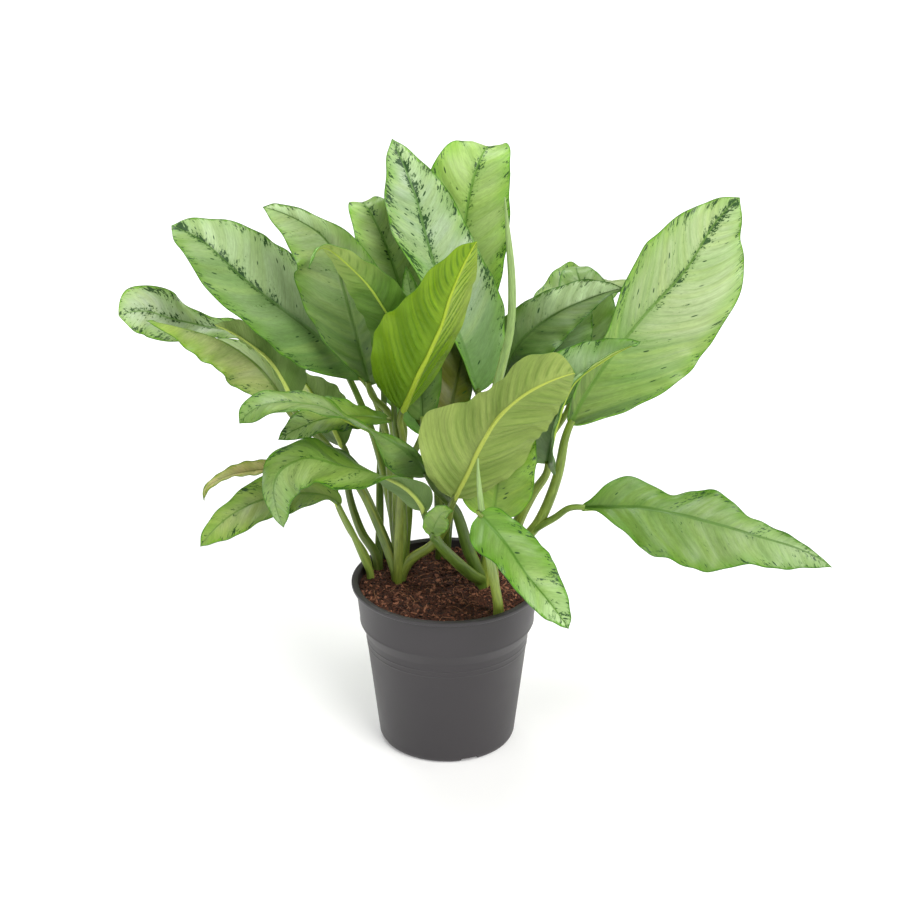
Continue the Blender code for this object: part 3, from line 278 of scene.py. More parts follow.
# Each stem: where its foot leaves the soil, the radius of the foot, and its
# stalks: the leaf each one carries, the points it passes and its radii. A
# branch starts at its first point, inside another stalk. tint, or STALK_TINT
# where none is given, darkens the leafy stalks, spears not: partly their own
# colour, partly painted shade on stems that stand in shade.
STEMS = dict(
    stem_1=dict(foot=(-76, 18, 167), radius=5.4, stalks=[
        ("leaf_27", [(-82, 18, 184), (-93, 18, 212)], (4.4, 4, 3.2, 2.4)),
        ("leaf_28", [(-81, 21, 187), (-99, 27, 216), (-111, 40, 240)], (3.3, 3, 2.4, 1.8))]),
    stem_2=dict(foot=(-69, 36, 165), radius=6, tint=(200, 205, 215), stalks=[
        ("leaf_26", [(-73, 39, 182), (-86, 48, 200), (-99, 58, 242)], (5, 4.3, 3.6, 3)),
        ("leaf_29", [(-68, 58, 200), (-68, 92, 250)], (4.5, 4, 3.4, 3))]),
    stem_3=dict(foot=(-48, 8, 168), radius=9, tint=(238, 230, 240), stalks=[
        ("leaf_03", [(-56, 12, 191), (-69, 18, 225), (-85, 24, 259), (-120, 26, 309)], (6, 5, 4.4, 3.8, 3)),
        ("leaf_02", [(-56, 16, 191), (-70, 26, 225), (-87, 34, 261), (-125, 42, 305)],
         (5.5, 4.6, 4, 3.4, 2.8)),
        ("leaf_07", [(-47, 0, 225), (-43, -6, 292), (-42, -12, 326)], (6, 5, 4.2, 3.4, 3)),
        ("leaf_25", [(-46, 6, 236), (-44, 1, 303)], (5, 4, 3.2, 2.6)),
        ("leaf_06", [(-43, 2, 224), (-46, -8, 301)], (5, 4.2, 3.4, 2.6)),
        ("leaf_12", [(-36, 3, 192), (-14, -8, 214), (-1, -26, 244)], (6, 5.4, 4.6, 4, 3.2))]),
    stem_4=dict(foot=(-46, 36, 168), radius=9, stalks=[
        ("leaf_04", [(-53, 40, 218), (-56, 42, 273), (-63, 46, 322)], (6, 5.2, 4.6, 3.8, 3)),
        ("leaf_05", [(-50, 33, 221), (-50, 28, 290), (-57, 24, 341)], (6, 5.2, 4.6, 3.8, 3)),
        ("leaf_01", [(-56, 60, 220), (-76, 96, 290)], (5, 4.4, 3.6, 2.8)),
        ("leaf_11", [(-39, 30, 222), (-34, 12, 296)], (5, 4.4, 3.6, 2.6))]),
    stem_5=dict(foot=(35, -4, 169), radius=8.5, tint=(186, 198, 190), stalks=[
        ("leaf_23", [(26, -13, 182), (10, -29, 205), (-9, -51, 238)], (6.6, 6.2, 5.6, 4.6, 3.2)),
        ("leaf_20", [(-6, -50, 232), (-12, -58, 243)], (3, 2.4, 1.9), "branch"),
        ("leaf_24", [(28, -6, 190), (20, -10, 213), (8, -22, 258)], (7, 6.4, 5.6, 4.4, 3)),
        ("leaf_08", [(41, 3, 207), (44, 7, 276)], (6, 5.4, 4.6, 3.2)),
        (None, [(42, -4, 208), (44, -4, 291), (46, -2, 368), (53, 3, 399), (61, 14, 434), (62, 26, 478),
                (58, 40, 523), (55, 50, 553)], (5.4, 4.8, 4.8, 4.6, 4.4, 4, 3.4, 0.8))]),
    stem_6=dict(foot=(50, -62, 168), radius=5.5, stalks=[
        (None, [(42, -72, 224), (35, -80, 269), (30, -91, 319), (29, -100, 348)], (5, 4.3, 3.6, 2.8, 0.8)),
        ("leaf_22", [(34, -81, 283)], (2.6, 2.2, 2), "branch"),
        ("leaf_21", [(46, -62, 213), (46, -50, 240)], (4.4, 3.8, 3.2, 2.6))]),
    stem_7=dict(foot=(66, 33, 168), radius=9, stalks=[
        ("leaf_15", [(66, 22, 200), (70, 10, 228), (84, -8, 269)], (6.6, 6, 5.4, 4.6, 3.4)),
        ("leaf_13", [(76, 26, 200), (92, 18, 228), (108, 2, 283)], (6.4, 6, 5.4, 4.8, 3.8)),
        ("leaf_14", [(74, 28, 196), (86, 20, 216), (107, 6, 237)], (5.4, 4.8, 4.2, 3.6, 3))]),
    stem_8=dict(foot=(50, 58, 168), radius=8.5, stalks=[
        ("leaf_16", [(57, 62, 227), (58, 62, 295)], (6, 5.2, 4.4, 3.2)),
        ("leaf_18", [(62, 66, 226), (78, 72, 274)], (5, 4.4, 3.8, 3)),
        ("leaf_17", [(66, 76, 221), (98, 102, 271)], (5, 4.4, 3.8, 3)),
        ("leaf_31", [(62, 92, 225), (80, 128, 300)], (5, 4.4, 3.8, 3)),
        ("leaf_33", [(46, 66, 188), (43, 90, 204), (39, 114, 222)], (4.4, 4, 3.6, 3.2, 2.8))]),
    stem_9=dict(foot=(-4, 62, 168), radius=9, tint=(200, 210, 200), stalks=[
        ("leaf_09", [(3, 66, 227), (15, 76, 311)], (6, 5.2, 4.4, 3.2)),
        ("leaf_10", [(-8, 60, 230), (-10, 60, 296)], (6, 5.2, 4.2, 3.2)),
        ("leaf_19", [(0, 48, 212), (2, 22, 270)], (5, 4.2, 3.4, 2.6)),
        ("leaf_30", [(0, 86, 240), (3, 124, 340)], (5.4, 4.6, 4, 3.2)),
        ("leaf_32", [(-6, 76, 195), (-12, 106, 240)], (4.6, 4, 3.4, 2.8))]),
)


def unit(vectors):
    """The vectors scaled to length one."""
    return vectors / np.maximum(np.linalg.norm(vectors, axis=-1, keepdims=True), 1e-9)


def square_to(vectors, axis):
    """Directions of length one, at right angles to the axis, that lean as the vectors do."""
    return unit(vectors - (vectors * axis).sum(1, keepdims=True) * axis)


def hermite(u, here, leave, there, arrive):
    """The curve from here to there that leaves and arrives with the given slopes."""
    return ((2 * u**3 - 3 * u**2 + 1) * here + (u**3 - 2 * u**2 + u) * leave
            + (3 * u**2 - 2 * u**3) * there + (u**3 - u**2) * arrive)


def spline(points, count):
    """Points evenly spaced along a smooth curve through the given points."""
    points = np.asarray(points, float)
    chord = np.sqrt(np.linalg.norm(np.diff(points, axis=0), axis=1))
    knot = np.concatenate([[0], np.cumsum(chord)])
    slope = np.gradient(points, knot, axis=0, edge_order=2)
    u = np.linspace(0, 1, 61)[:, None]
    pieces = []
    for i in range(len(points) - 1):
        leave, arrive = slope[i:i + 2] * (knot[i + 1] - knot[i])
        pieces.append(hermite(u, points[i], leave, points[i + 1], arrive))
    fine = np.concatenate(pieces)
    run = np.concatenate([[0], np.cumsum(np.linalg.norm(np.diff(fine, axis=0), axis=1))])
    return read_at(np.linspace(0, run[-1], count), run, fine)


def read_at(want, known, vectors):
    """Vectors read off between the known ones, each coordinate by itself."""
    return np.stack([np.interp(want, known, vectors[:, k]) for k in range(3)], -1)


def rib_at(points, s):
    """Places, directions and total length of the smooth curve at the shares s of its length."""
    fine = spline(points, 241)
    even = np.linspace(0, 1, len(fine))
    ahead = unit(read_at(s, even, unit(np.gradient(fine, axis=0))))
    return read_at(s, even, fine), ahead, np.linalg.norm(np.diff(fine, axis=0), axis=1).sum()


def rib_length(points):
    return rib_at(points, np.zeros(1))[2]


def along(values, s):
    """A value, or a list of values spread from base to tip, read smoothly at s."""
    values = np.atleast_1d(np.asarray(values, float))
    if len(values) == 1:
        return np.full(len(s), values[0])
    place = s * (len(values) - 1)
    i = np.clip(place.astype(int), 0, len(values) - 2)
    u = place - i
    padded = np.concatenate([[2 * values[0] - values[1]], values, [2 * values[-1] - values[-2]]])
    before, here, there, after = padded[i], padded[i + 1], padded[i + 2], padded[i + 3]
    return hermite(u, here, CURVE_EASE * (there - before), there, CURVE_EASE * (after - here))


def smooth(value, low, high):
    """0 below low, 1 above high, with a soft step between them."""
    x = np.clip((value - low) / (high - low), 0, 1)
    return x * x * (3 - 2 * x)


def half_width(leaf, s):
    """Half the width of a blade from base to tip before it is trimmed."""
    belly, taper = leaf["form"]
    peak = belly / (belly + taper)
    top = peak**belly * (1 - peak) ** taper
    shape = s**belly * (1 - s) ** taper / top
    shape *= 1 - TIP_PINCH * np.exp(-(((s - 0.9) / 0.06) ** 2))
    left = (1 - s) / TIP_REACH
    shape *= (left / (1 + left**4) ** 0.25) ** TIP_POINT
    return leaf["width"] / 2 * shape


def blade_rows(leaf, number):
    """Middle surface of a blade as rows of points, and what its materials read, point by point."""
    stations = int(rib_length(leaf["rib"]) / STATION_STEP) + 6
    lanes = max(7, round(leaf["width"] / 2 / LANE_STEP))
    even = np.linspace(0, 1, stations)
    s = 0.6 * even + 0.4 * (0.5 - 0.5 * np.cos(math.pi * even))
    rib, tangent, length = rib_at(leaf["rib"], s)
    face = np.asarray(leaf["face"], float)
    normal = square_to(np.stack([along(face[:, k], s) for k in range(3)], -1), tangent)
    side = np.cross(tangent, normal)
    height, count, start = leaf["wave"]
    thick = (0.2 + 0.8 * np.minimum(1, leaf["width"] / 90)) * (RIB_BASE * (1 - s) ** 0.8 + RIB_TIP)
    least = np.interp(s, [0, 0.03, 0.97, 1], [1, 0, 0, 0.3]) * np.maximum(thick, 0.5)
    hump = np.sin(math.pi * s) ** 0.5
    dark, pleat = leaf["dark"], leaf["pleat"]
    # Painted shade towards the base and painted light towards the tip.
    ground = leaf["base"] * (1 - smooth(s, 0, 0.62)) - leaf["tip"] * smooth(s, 0.5, 0.9)
    shape = (2 * lanes + 1, stations)
    rows, reads = np.zeros(shape + (3,)), {"seed": np.full(shape, 3.7 * number)}
    outer = lanes + 1 - len(RIB_LANES)
    halves = zip((-1, 1), leaf["fold"], leaf["trim"], leaf["halves"], FEATHER_REACH)
    for sign, fold, trim, half, feather_reach in halves:
        uneven = np.sin(19 * s + 2 * number + sign) + 0.7 * np.sin(43 * s + 5 * number - sign)
        reach = np.maximum(half_width(leaf, s) * along(trim, s) * (1 + RAGGED * uneven), least)
        steep = along(fold, s) * np.clip(reach / 8, 0.2, 1)
        phase = 2 * math.pi * count * s + start + (WAVE_OFFSET if sign > 0 else 0)
        ripple = height * np.sin(phase) * hump
        frill = FRILL * np.sin(FRILL_COUNT * phase + number) * hump
        room = np.clip(reach / BILLOW_ROOM, 0, 1)
        # from here on with a row for each lane
        inner = np.minimum(thick, reach / 2)
        first = inner * RIB_LANES[-1]
        spread = first + (reach - first) * np.arange(1, outer + 1)[:, None] / outer
        reached = np.concatenate([inner * np.array(RIB_LANES)[:, None], spread])
        t = reached / reach
        part = (np.arange(BEND_PARTS) + 0.5)[:, None, None] * t / BEND_PARTS
        angle = np.radians(steep * (1 - BEND_EASE * part))
        over = np.cos(angle).mean(0) * reached
        lift = np.sin(angle).mean(0) * reached + ripple * t**2.2 + frill * t**4
        vein = s * length - reach * (VEIN_LEAN * t + leaf["arch"] * t * t)
        quilt = np.sqrt(np.sin(math.pi * vein / VEIN_STEP + VEIN_OFFSET * sign) ** 2 + 0.04) - 0.65
        off_rib, off_edge = smooth(t, 0.03, 0.3), 1 - t**3
        lift += pleat * quilt * off_rib * off_edge * room
        billow = np.sin(2 * math.pi * vein / BILLOW_LENGTH + number + sign)
        lift += BILLOW * billow * 4 * t * (1 - t) * room * hump
        columns = lanes + sign * np.arange(lanes + 1)
        rows[columns] = rib + side * (sign * over)[..., None] + normal * lift[..., None]
        edge = reach - reached
        zone = (3 + 9 * dark) * np.clip(reach / 32, 0.3, 1)
        near_edge = 1 / (1 + np.exp((edge - zone) / 2.4)) * (0.5 + 0.5 * smooth(s, 0.05, 0.4))
        near_rib = leaf["feather"] * np.exp(-((reached / feather_reach) ** 2)) * smooth(s, 0.2, 0.65)
        flecks = np.maximum(near_edge, near_rib) + 0.16 * smooth(s, 0.8, 1)
        # shade: painted shade (below 0: painted light) along the blade and on each half; furrow: how strongly
        # painted shade lies in the quilted valleys.
        values = dict(
            vein=vein + VEIN_OFFSET * sign * VEIN_STEP / math.pi, across=sign * reached, share=s, edge=edge,
            rib=reached / np.maximum(inner, 0.01),
            fleck=(0.1 + 0.16 * dark) * flecks + 0.12 * max(0, dark - 0.6),
            shade=ground + along(half, s) * smooth(t, 0, 0.12), furrow=pleat * off_edge * off_rib)
        for name, value in values.items():
            reads.setdefault(name, np.zeros(shape))[columns] = value
    return rows.transpose(1, 0, 2), thick, {name: value.T for name, value in reads.items()}


def add_reads(mesh, reads, count):
    """Write what the materials read as attributes of the points, count times over."""
    for name, values in reads.items():
        layer = mesh.attributes.new(name, "FLOAT", "POINT")
        layer.data.foreach_set("value", np.tile(values.reshape(-1), count).astype(np.float32))


def add_colour(mesh, name, colour):
    """Write one colour for all points of a mesh."""
    layer = mesh.attributes.new(name, "FLOAT_COLOR", "POINT")
    layer.data.foreach_set("color", np.tile(linear(*colour), len(mesh.vertices)).astype(np.float32))


def add_object(name, data):
    """A new object in the scene that holds the data."""
    thing = bpy.data.objects.new(name, data)
    bpy.context.scene.collection.objects.link(thing)
    return thing


def make_object(name, points, faces, materials):
    """A smooth-shaded mesh object whose faces are turned outward."""
    mesh = bpy.data.meshes.new(name)
    mesh.from_pydata([tuple(p) for p in points], [], faces)
    work = bmesh.new()
    work.from_mesh(mesh)
    bmesh.ops.recalc_face_normals(work, faces=work.faces)
    work.to_mesh(mesh)
    work.free()
    for material in materials:
        mesh.materials.append(material)
    mesh.shade_smooth()
    mesh.set_sharp_from_angle(angle=math.radians(SMOOTH_ANGLE))
    return add_object(name, mesh)


def build_blade(name, leaf, number, materials):
    """A closed thin blade with its raised midrib below and the shallow groove above it."""
    rows, thick, reads = blade_rows(leaf, number)
    n, k = rows.shape[:2]
    normal = unit(np.cross(*np.gradient(rows, axis=(1, 0))))
    off = np.abs(reads["across"]) / np.maximum(thick, 0.01)[:, None]
    keel = np.sqrt(np.maximum(0, 1 - off**2)) * thick[:, None] * 1.5
    groove = np.exp(-((off / 0.6) ** 2)) * thick[:, None] * 0.3
    upper = rows + normal * (BLADE_THICK / 2 - groove)[..., None]
    lower = rows - normal * (BLADE_THICK / 2 + keel)[..., None]
    points = np.concatenate([upper.reshape(-1, 3), lower.reshape(-1, 3)]) * MM
    grid = np.arange(n * k).reshape(n, k)
    a, b, c, d = grid[:-1, :-1], grid[:-1, 1:], grid[1:, 1:], grid[1:, :-1]
    left, right = np.s_[:, :k // 2], np.s_[:, k // 2:]
    splits = [(left, (a, b, d)), (left, (b, c, d)), (right, (a, b, c)), (right, (a, c, d))]
    top = np.concatenate([np.stack([corner[half] for corner in corners], -1).reshape(-1, 3)
                          for half, corners in splits])
    bottom = top[:, ::-1] + n * k
    loop = np.concatenate([grid[:, 0], grid[-1, 1:], grid[-2::-1, -1], grid[0, -2:0:-1]])
    after = np.roll(loop, -1)
    rim = np.stack([loop, after, after + n * k, loop + n * k], -1)
    faces = top.tolist() + bottom.tolist() + rim.tolist()
    thing = make_object(name, points, faces, materials)
    add_reads(thing.data, reads, 2)
    for face in ("upper", "under"):
        add_colour(thing.data, face, leaf[face])
    index = np.zeros(len(faces), np.int32)
    index[len(top):2 * len(top)] = 1
    thing.data.polygons.foreach_set("material_index", index)
    return thing


def tube_faces(count, sides, start=0):
    """Faces of a closed tube whose points lie in rings, one ring after the other."""
    grid = start + np.arange(count * sides).reshape(count, sides)
    over = np.roll(grid, -1, axis=1)
    around = np.stack([grid[:-1], over[:-1], over[1:], grid[1:]], -1).reshape(-1, 4)
    return around.tolist() + [grid[0, ::-1].tolist(), grid[-1].tolist()]


def tube_rows(path, radii, number, tone):
    """Points, faces and attributes of a closed stalk with the groove of its sheath."""
    count = int(rib_length(path) / RING_STEP) + 3
    share = np.linspace(0, 1, count)
    centre, tangent, length = rib_at(path, share)
    radius = along(radii, share)
    lean = np.subtract(path[-1], path[0])
    lean[2] = 0
    inward = square_to(-unit(lean) + (0, 0, 1), tangent)
    other = np.cross(tangent, inward)
    turn = 2 * math.pi * np.arange(STALK_SIDES) / STALK_SIDES - math.pi
    sheath = 1 - smooth(share, 0.45, 0.75)
    hollow = np.exp(-((turn / SHEATH_HOLLOW) ** 2))
    lips = np.exp(-(((np.abs(turn) - SHEATH_LIP) / 0.22) ** 2))
    depth = 0.1 + 0.16 * sheath
    swell = 1 - depth[:, None] * hollow + (0.09 * sheath)[:, None] * lips
    swell += 0.02 * np.sin(3 * turn + number)[None, :]
    ring = np.cos(turn)[None, :, None] * inward[:, None] + np.sin(turn)[None, :, None] * other[:, None]
    points = centre[:, None] + (radius[:, None] * swell)[..., None] * ring
    shape = (count, STALK_SIDES)
    reads = dict(run=(share * length)[:, None] + 97 * number, turn=turn[None], share=share[:, None],
                 lip=sheath[:, None] * lips[None], tone=tone)
    reads = {key: np.broadcast_to(value, shape).reshape(-1) for key, value in reads.items()}
    return points.reshape(-1, 3), tube_faces(*shape), reads


def stalk_path(foot, foot_radius, leaf, via, radii, branch):
    """The points of a stalk from its foot, or its first point, into its leaf's midrib."""
    via = [np.array(p, float) for p in via]
    path = []
    if not branch:
        foot = np.array(foot, float)
        lean = via[0] - foot
        lean[2] = 0
        lean *= min(1, 0.8 * (foot_radius - radii[0]) / max(np.linalg.norm(lean), 1e-6))
        path = [foot + lean + (0, 0, -7), foot + lean + (0, 0, 4)]
    path += via
    if leaf:
        (base,), (ahead,) = rib_at(LEAVES[leaf]["rib"], np.zeros(1))[:2]
        gap = np.linalg.norm(via[-1] - base)
        path.append(base - ahead * min(12, 0.35 * gap))
        path.append(base + ahead * STALK_INTO_BLADE)
    return path


def build_stem(name, row, number, material):
    """A leafy stem: its foot and its stalks, each a closed round body."""
    x, y, z = row["foot"]
    r = row["radius"]
    foot_path = [(x, y, z + rise) for rise in (-20, -6, 2, 6, 8)]
    bodies = [tube_rows(foot_path, (r, r, 0.98 * r, 0.9 * r, 0.5 * r), number, 0.2)]
    for order, (leaf, via, radii, *branch) in enumerate(row["stalks"]):
        path = stalk_path(row["foot"], r, leaf, via, radii, branch)
        tone = 0.35 + 0.3 * math.sin(2.3 * number + 1.7 * order) if leaf else 1
        bodies.append(tube_rows(path, radii, number + 0.37 * order, tone))
    faces, start = [], 0
    for points, body_faces, reads in bodies:
        faces += [[v + start for v in face] for face in body_faces]
        start += len(points)
    points = np.concatenate([body[0] for body in bodies]) * MM
    reads = {key: np.concatenate([body[2][key] for body in bodies]) for key in bodies[0][2]}
    thing = make_object(name, points, faces, [material])
    add_reads(thing.data, reads, 1)
    add_colour(thing.data, "tint", row.get("tint", STALK_TINT))
    return thing


def lathe(outline, sides):
    """Points and faces of a solid turned about z; the outline runs axis to axis."""
    angle = 2 * math.pi * np.arange(sides) / sides
    ring = np.stack([np.cos(angle), np.sin(angle)], -1)
    points = [(0, 0, outline[0][1])]
    for radius, height in outline[1:-1]:
        points += [(radius * c, radius * s, height) for c, s in ring]
    points.append((0, 0, outline[-1][1]))
    faces = []
    for j in range(sides):
        edges = [(i + j, i + (j + 1) % sides) for i in range(1, len(points) - 1, sides)]
        faces.append((0, *edges[0][::-1]))
        faces += [(a, b, d, c) for (a, b), (c, d) in zip(edges, edges[1:])]
        faces.append((len(points) - 1, *edges[-1]))
    return np.array(points, float) * MM, faces


def build_pot(material):
    """The moulded pot with its lip, shoulder, faint ridges and drain slots."""
    (base_radius, base), (top_radius, top) = POT_FOOT[-1], POT_WALL_TOP
    wall = []
    for ridge in POT_RIDGES:
        wall += [(ridge - 2, 0), (ridge - 0.9, 0), (ridge, RIDGE), (ridge + 0.9, 0), (ridge + 2, 0)]
    wall += [(top - 1.2, 0), (top, 0)]
    slope = (top_radius - base_radius) / (top - base)
    wall = [(base_radius + slope * (z - base) + out, z) for z, out in wall]
    outline = [(0, 0)] + POT_FOOT + wall + POT_TOP + [(0, 3)]
    pot = make_object("nursery_pot", *lathe(outline, POT_SIDES), [material])
    near, far = DRAIN_REACH
    for degrees in DRAIN_ANGLES:
        a = math.radians(degrees)
        out = np.array([math.cos(a), math.sin(a), 0])
        over = np.array([-math.sin(a), math.cos(a), 0]) * DRAIN_WIDTH / 2
        floor = [out * near - over, out * far - over, out * far + over, out * near + over]
        box = [p + (0, 0, z) for z in DRAIN_HEIGHTS for p in floor]
        cutter = make_object("cutter", np.array(box) * MM, tube_faces(2, 4), [])
        step = pot.modifiers.new("slot", "BOOLEAN")
        step.operation = "DIFFERENCE"
        step.object = cutter
        bpy.context.view_layer.update()
        shape = pot.evaluated_get(bpy.context.evaluated_depsgraph_get())
        pot.data = bpy.data.meshes.new_from_object(shape)
        pot.modifiers.clear()
        bpy.data.objects.remove(cutter)
    pot.data.set_sharp_from_angle(angle=math.radians(POT_SMOOTH_ANGLE))
    return pot


def soil_height(x, y):
    """Height of the soil surface in millimetres, with lumps of several sizes."""
    out = math.hypot(x, y) / SOIL_EDGE
    rough = SOIL_ROUGH * (1 + max(y, 0) / 90)
    bumps = math.sin(x * 0.19 + 1.3) * math.cos(y * 0.23) + 0.6 * math.sin(x * 0.41 - y * 0.33)
    fall = max(0, 1 - out**4)
    grain = noise.fractal(Vector((x, y, 3)) * 0.16, 1, 2.1, 4)
    return SOIL_CROWN - SOIL_FALL * out**2 + rough * bumps * 0.6 * fall + 1.5 * grain - 0.6


def build_soil(material):
    """The body of soil with a rough, lumpy top."""
    rings = [(r, 0) for r in np.linspace(86.5, 1.5, SOIL_RINGS)]
    outline = [(0, SOIL_WALL[0][1])] + SOIL_WALL + rings + [(0, 0)]
    points, faces = lathe(outline, SOIL_SIDES)
    crown = len(SOIL_WALL) * SOIL_SIDES + 1
    for i in range(crown, len(points)):
        x, y = points[i, :2] / MM
        points[i, 2] = soil_height(x, y) * MM
    return make_object("soil_body", points, faces, [material])


def drawn_place(draw, reach):
    """A drawn place on the soil, within reach of its middle."""
    r = reach * math.sqrt(draw.random())
    a = 2 * math.pi * draw.random()
    return np.array([r * math.cos(a), r * math.sin(a)])


def build_chips(material):
    """Bark and peat crumbs that lie on the soil, joined in one piece."""
    draw = random.Random(7)
    ball = bmesh.new()
    bmesh.ops.create_icosphere(ball, subdivisions=1, radius=1)
    shell = np.array([v.co for v in ball.verts])
    shell_faces = [[v.index for v in f.verts] for f in ball.faces]
    ball.free()
    points, faces, tones = [], [], []
    for chip in range(CHIPS):
        x, y = drawn_place(draw, CHIP_REACH)
        size = draw.choice(CHIP_SIZES)
        stretch = np.array([draw.uniform(0.8, 2), draw.uniform(0.5, 1), draw.uniform(0.4, 0.8)]) * size
        turn = Euler((draw.uniform(-0.7, 0.7), draw.uniform(-0.7, 0.7), draw.uniform(0, 6.3))).to_matrix()
        jag = np.array([[draw.uniform(0.65, 1.2)] for vertex in shell])
        body = (shell * jag * stretch) @ np.array(turn).T
        faces += [[v + chip * len(shell) for v in face] for face in shell_faces]
        points.append(body + (x, y, soil_height(x, y) + 0.25 * size))
        tones.append(np.full(len(shell), draw.random() ** 2.4))
    thing = make_object("soil_chips", np.concatenate(points) * MM, faces, [material])
    thing.data.shade_flat()
    add_reads(thing.data, {"tone": np.concatenate(tones)}, 1)
    return thing


def build_fibres(material):
    """Fine fibres that lie among the chips, joined in one piece."""
    draw = random.Random(11)
    points, faces = [], []
    for fibre in range(FIBRES):
        place = drawn_place(draw, FIBRE_REACH)
        heading = draw.uniform(0, 6.3)
        bend = draw.uniform(-0.25, 0.25)
        thick = draw.uniform(0.12, 0.3)
        steps = draw.choice((5, 7, 9))
        faces += tube_faces(steps, 4, 4 * len(points))
        for step in range(steps):
            rise = soil_height(*place) + 1.2 + 1.3 * math.sin(math.pi * step / (steps - 1))
            across = np.array([-math.sin(heading), math.cos(heading), 0])
            ring = [across * math.cos(q) + (0, 0, math.sin(q)) for q in (0, 1.57, 3.14, 4.71)]
            points.append(np.array([*place, rise]) + np.array(ring) * thick)
            heading += bend
            place = place + np.array([math.cos(heading), math.sin(heading)]) * FIBRE_STEP
            place *= min(1, FIBRE_LIMIT / np.linalg.norm(place))
    return make_object("soil_fibres", np.concatenate(points) * MM, faces, [material])


def linear(red, green, blue):
    """A colour given as a screen shows it, from 0 to 255, as the shader wants it."""
    def channel(value):
        value /= 255
        return value / 12.92 if value <= 0.04045 else ((value + 0.055) / 1.055) ** 2.4
    return (channel(red), channel(green), channel(blue), 1)


class Surface:
    """A material whose nodes are added one after the other; colour is what they have made so far."""

    def __init__(self, name):
        self.material = bpy.data.materials.new(name)
        self.material.use_nodes = True
        self.tree = self.material.node_tree
        self.shader = self.tree.nodes["Principled BSDF"]
        self.colour = None

    def node(self, kind, values, output=0, **settings):
        """A node with its inputs set to numbers, colours or other nodes' outputs."""
        made = self.tree.nodes.new("ShaderNode" + kind)
        for key, value in settings.items():
            setattr(made, key, value)
        for slot, value in values.items():
            self.put(made.inputs[slot], value)
        return made.outputs[output]

    def put(self, slot, value):
        if isinstance(value, bpy.types.NodeSocket):
            self.tree.links.new(value, slot)
        else:
            slot.default_value = value

    def read(self, name, kind="Fac"):
        """A number, or with kind Color a colour, stored on the mesh's points."""
        return self.node("Attribute", {}, kind, attribute_name=name)

    def place(self):
        return self.node("TexCoord", {}, "Object")

    def math(self, operation, a, b=0):
        return self.node("Math", {0: a, 1: b}, operation=operation)

    def times(self, a, b):
        return self.math("MULTIPLY", a, b)

    def plus(self, a, b):
        return self.math("ADD", a, b)

    def vector(self, x, y, z):
        return self.node("CombineXYZ", {0: x, 1: y, 2: z})

    def noise(self, vector, scale, detail=2, rough=0.5):
        values = {"Vector": vector, "Scale": scale, "Detail": detail, "Roughness": rough}
        return self.node("TexNoise", values, "Fac")

    def step(self, value, low, high, start=0, end=1):
        """A soft step of the value between low and high."""
        values = {"Value": value, "From Min": low, "From Max": high, "To Min": start, "To Max": end}
        return self.node("MapRange", values, interpolation_type="SMOOTHSTEP")

    def mix(self, share, a, b):
        """One colour turning into another."""
        return self.node("Mix", {0: share, 6: a, 7: b}, 2, data_type="RGBA")

    def stretch(self, vector, factors):
        """A colour or a place multiplied channel by channel."""
        return self.node("VectorMath", {0: vector, 1: factors}, operation="MULTIPLY")

    def cover(self, share, colour, strength=None):
        """Lay a colour over what is there."""
        self.colour = self.mix(self.times(share, strength) if strength else share, self.colour, colour)

    def dim(self, factor):
        """Make what is there lighter or darker by a factor."""
        values = {0: self.colour, "Scale": factor}
        self.colour = self.node("VectorMath", values, operation="SCALE")

    def bump(self, height, distance, strength):
        values = {"Height": height, "Distance": distance, "Strength": strength}
        self.put(self.shader.inputs["Normal"], self.node("Bump", values))

    def finish(self, roughness, **sockets):
        self.put(self.shader.inputs["Base Color"], self.colour)
        self.put(self.shader.inputs["Roughness"], roughness)
        for name, value in sockets.items():
            self.shader.inputs[name.replace("_", " ")].default_value = value
        return self.material


def vein_place(s, squeeze):
    """Millimetres along the side veins; a small squeeze draws marks out across the blade."""
    return s.vector(s.read("vein"), s.times(s.read("across"), squeeze), s.read("seed"))


def vein_lines(s, step, low):
    """Thin lines where the side veins run."""
    wave = s.math("SINE", s.times(s.read("vein"), math.pi / step))
    return s.step(s.math("ABSOLUTE", wave), low, 0)


def light_and_shade(s, deep, pale, depth):
    """Painted shade and painted light on each half and towards base and tip, and painted shade in the valleys
    where the leaf is quilted.
    """
    shade = s.read("shade")
    s.cover(s.math("MAXIMUM", shade, 0), deep)
    s.cover(s.math("MAXIMUM", s.times(shade, -1), 0), pale)
    # Strong painted shade also darkens the colour as a whole.
    s.dim(s.step(shade, 0.7, 1.9, 1, 0.42))
    # Painted shade in the quilted valleys between side veins.
    much = s.times(s.math("SUBTRACT", s.read("furrow"), 0.7), depth)
    s.cover(s.times(vein_lines(s, VEIN_STEP, 0.75), s.math("MAXIMUM", much, 0)), deep)


def leaf_grain(s, flat, scale, low, high):
    """Streaks along the side veins and small uneven spots."""
    s.dim(s.step(s.noise(vein_place(s, 0.05), scale, 4, 0.65), 0.3, 0.7, low, high))
    s.dim(s.step(s.noise(flat, 0.55, 3, 0.65), 0.3, 0.7, 0.9, 1.1))


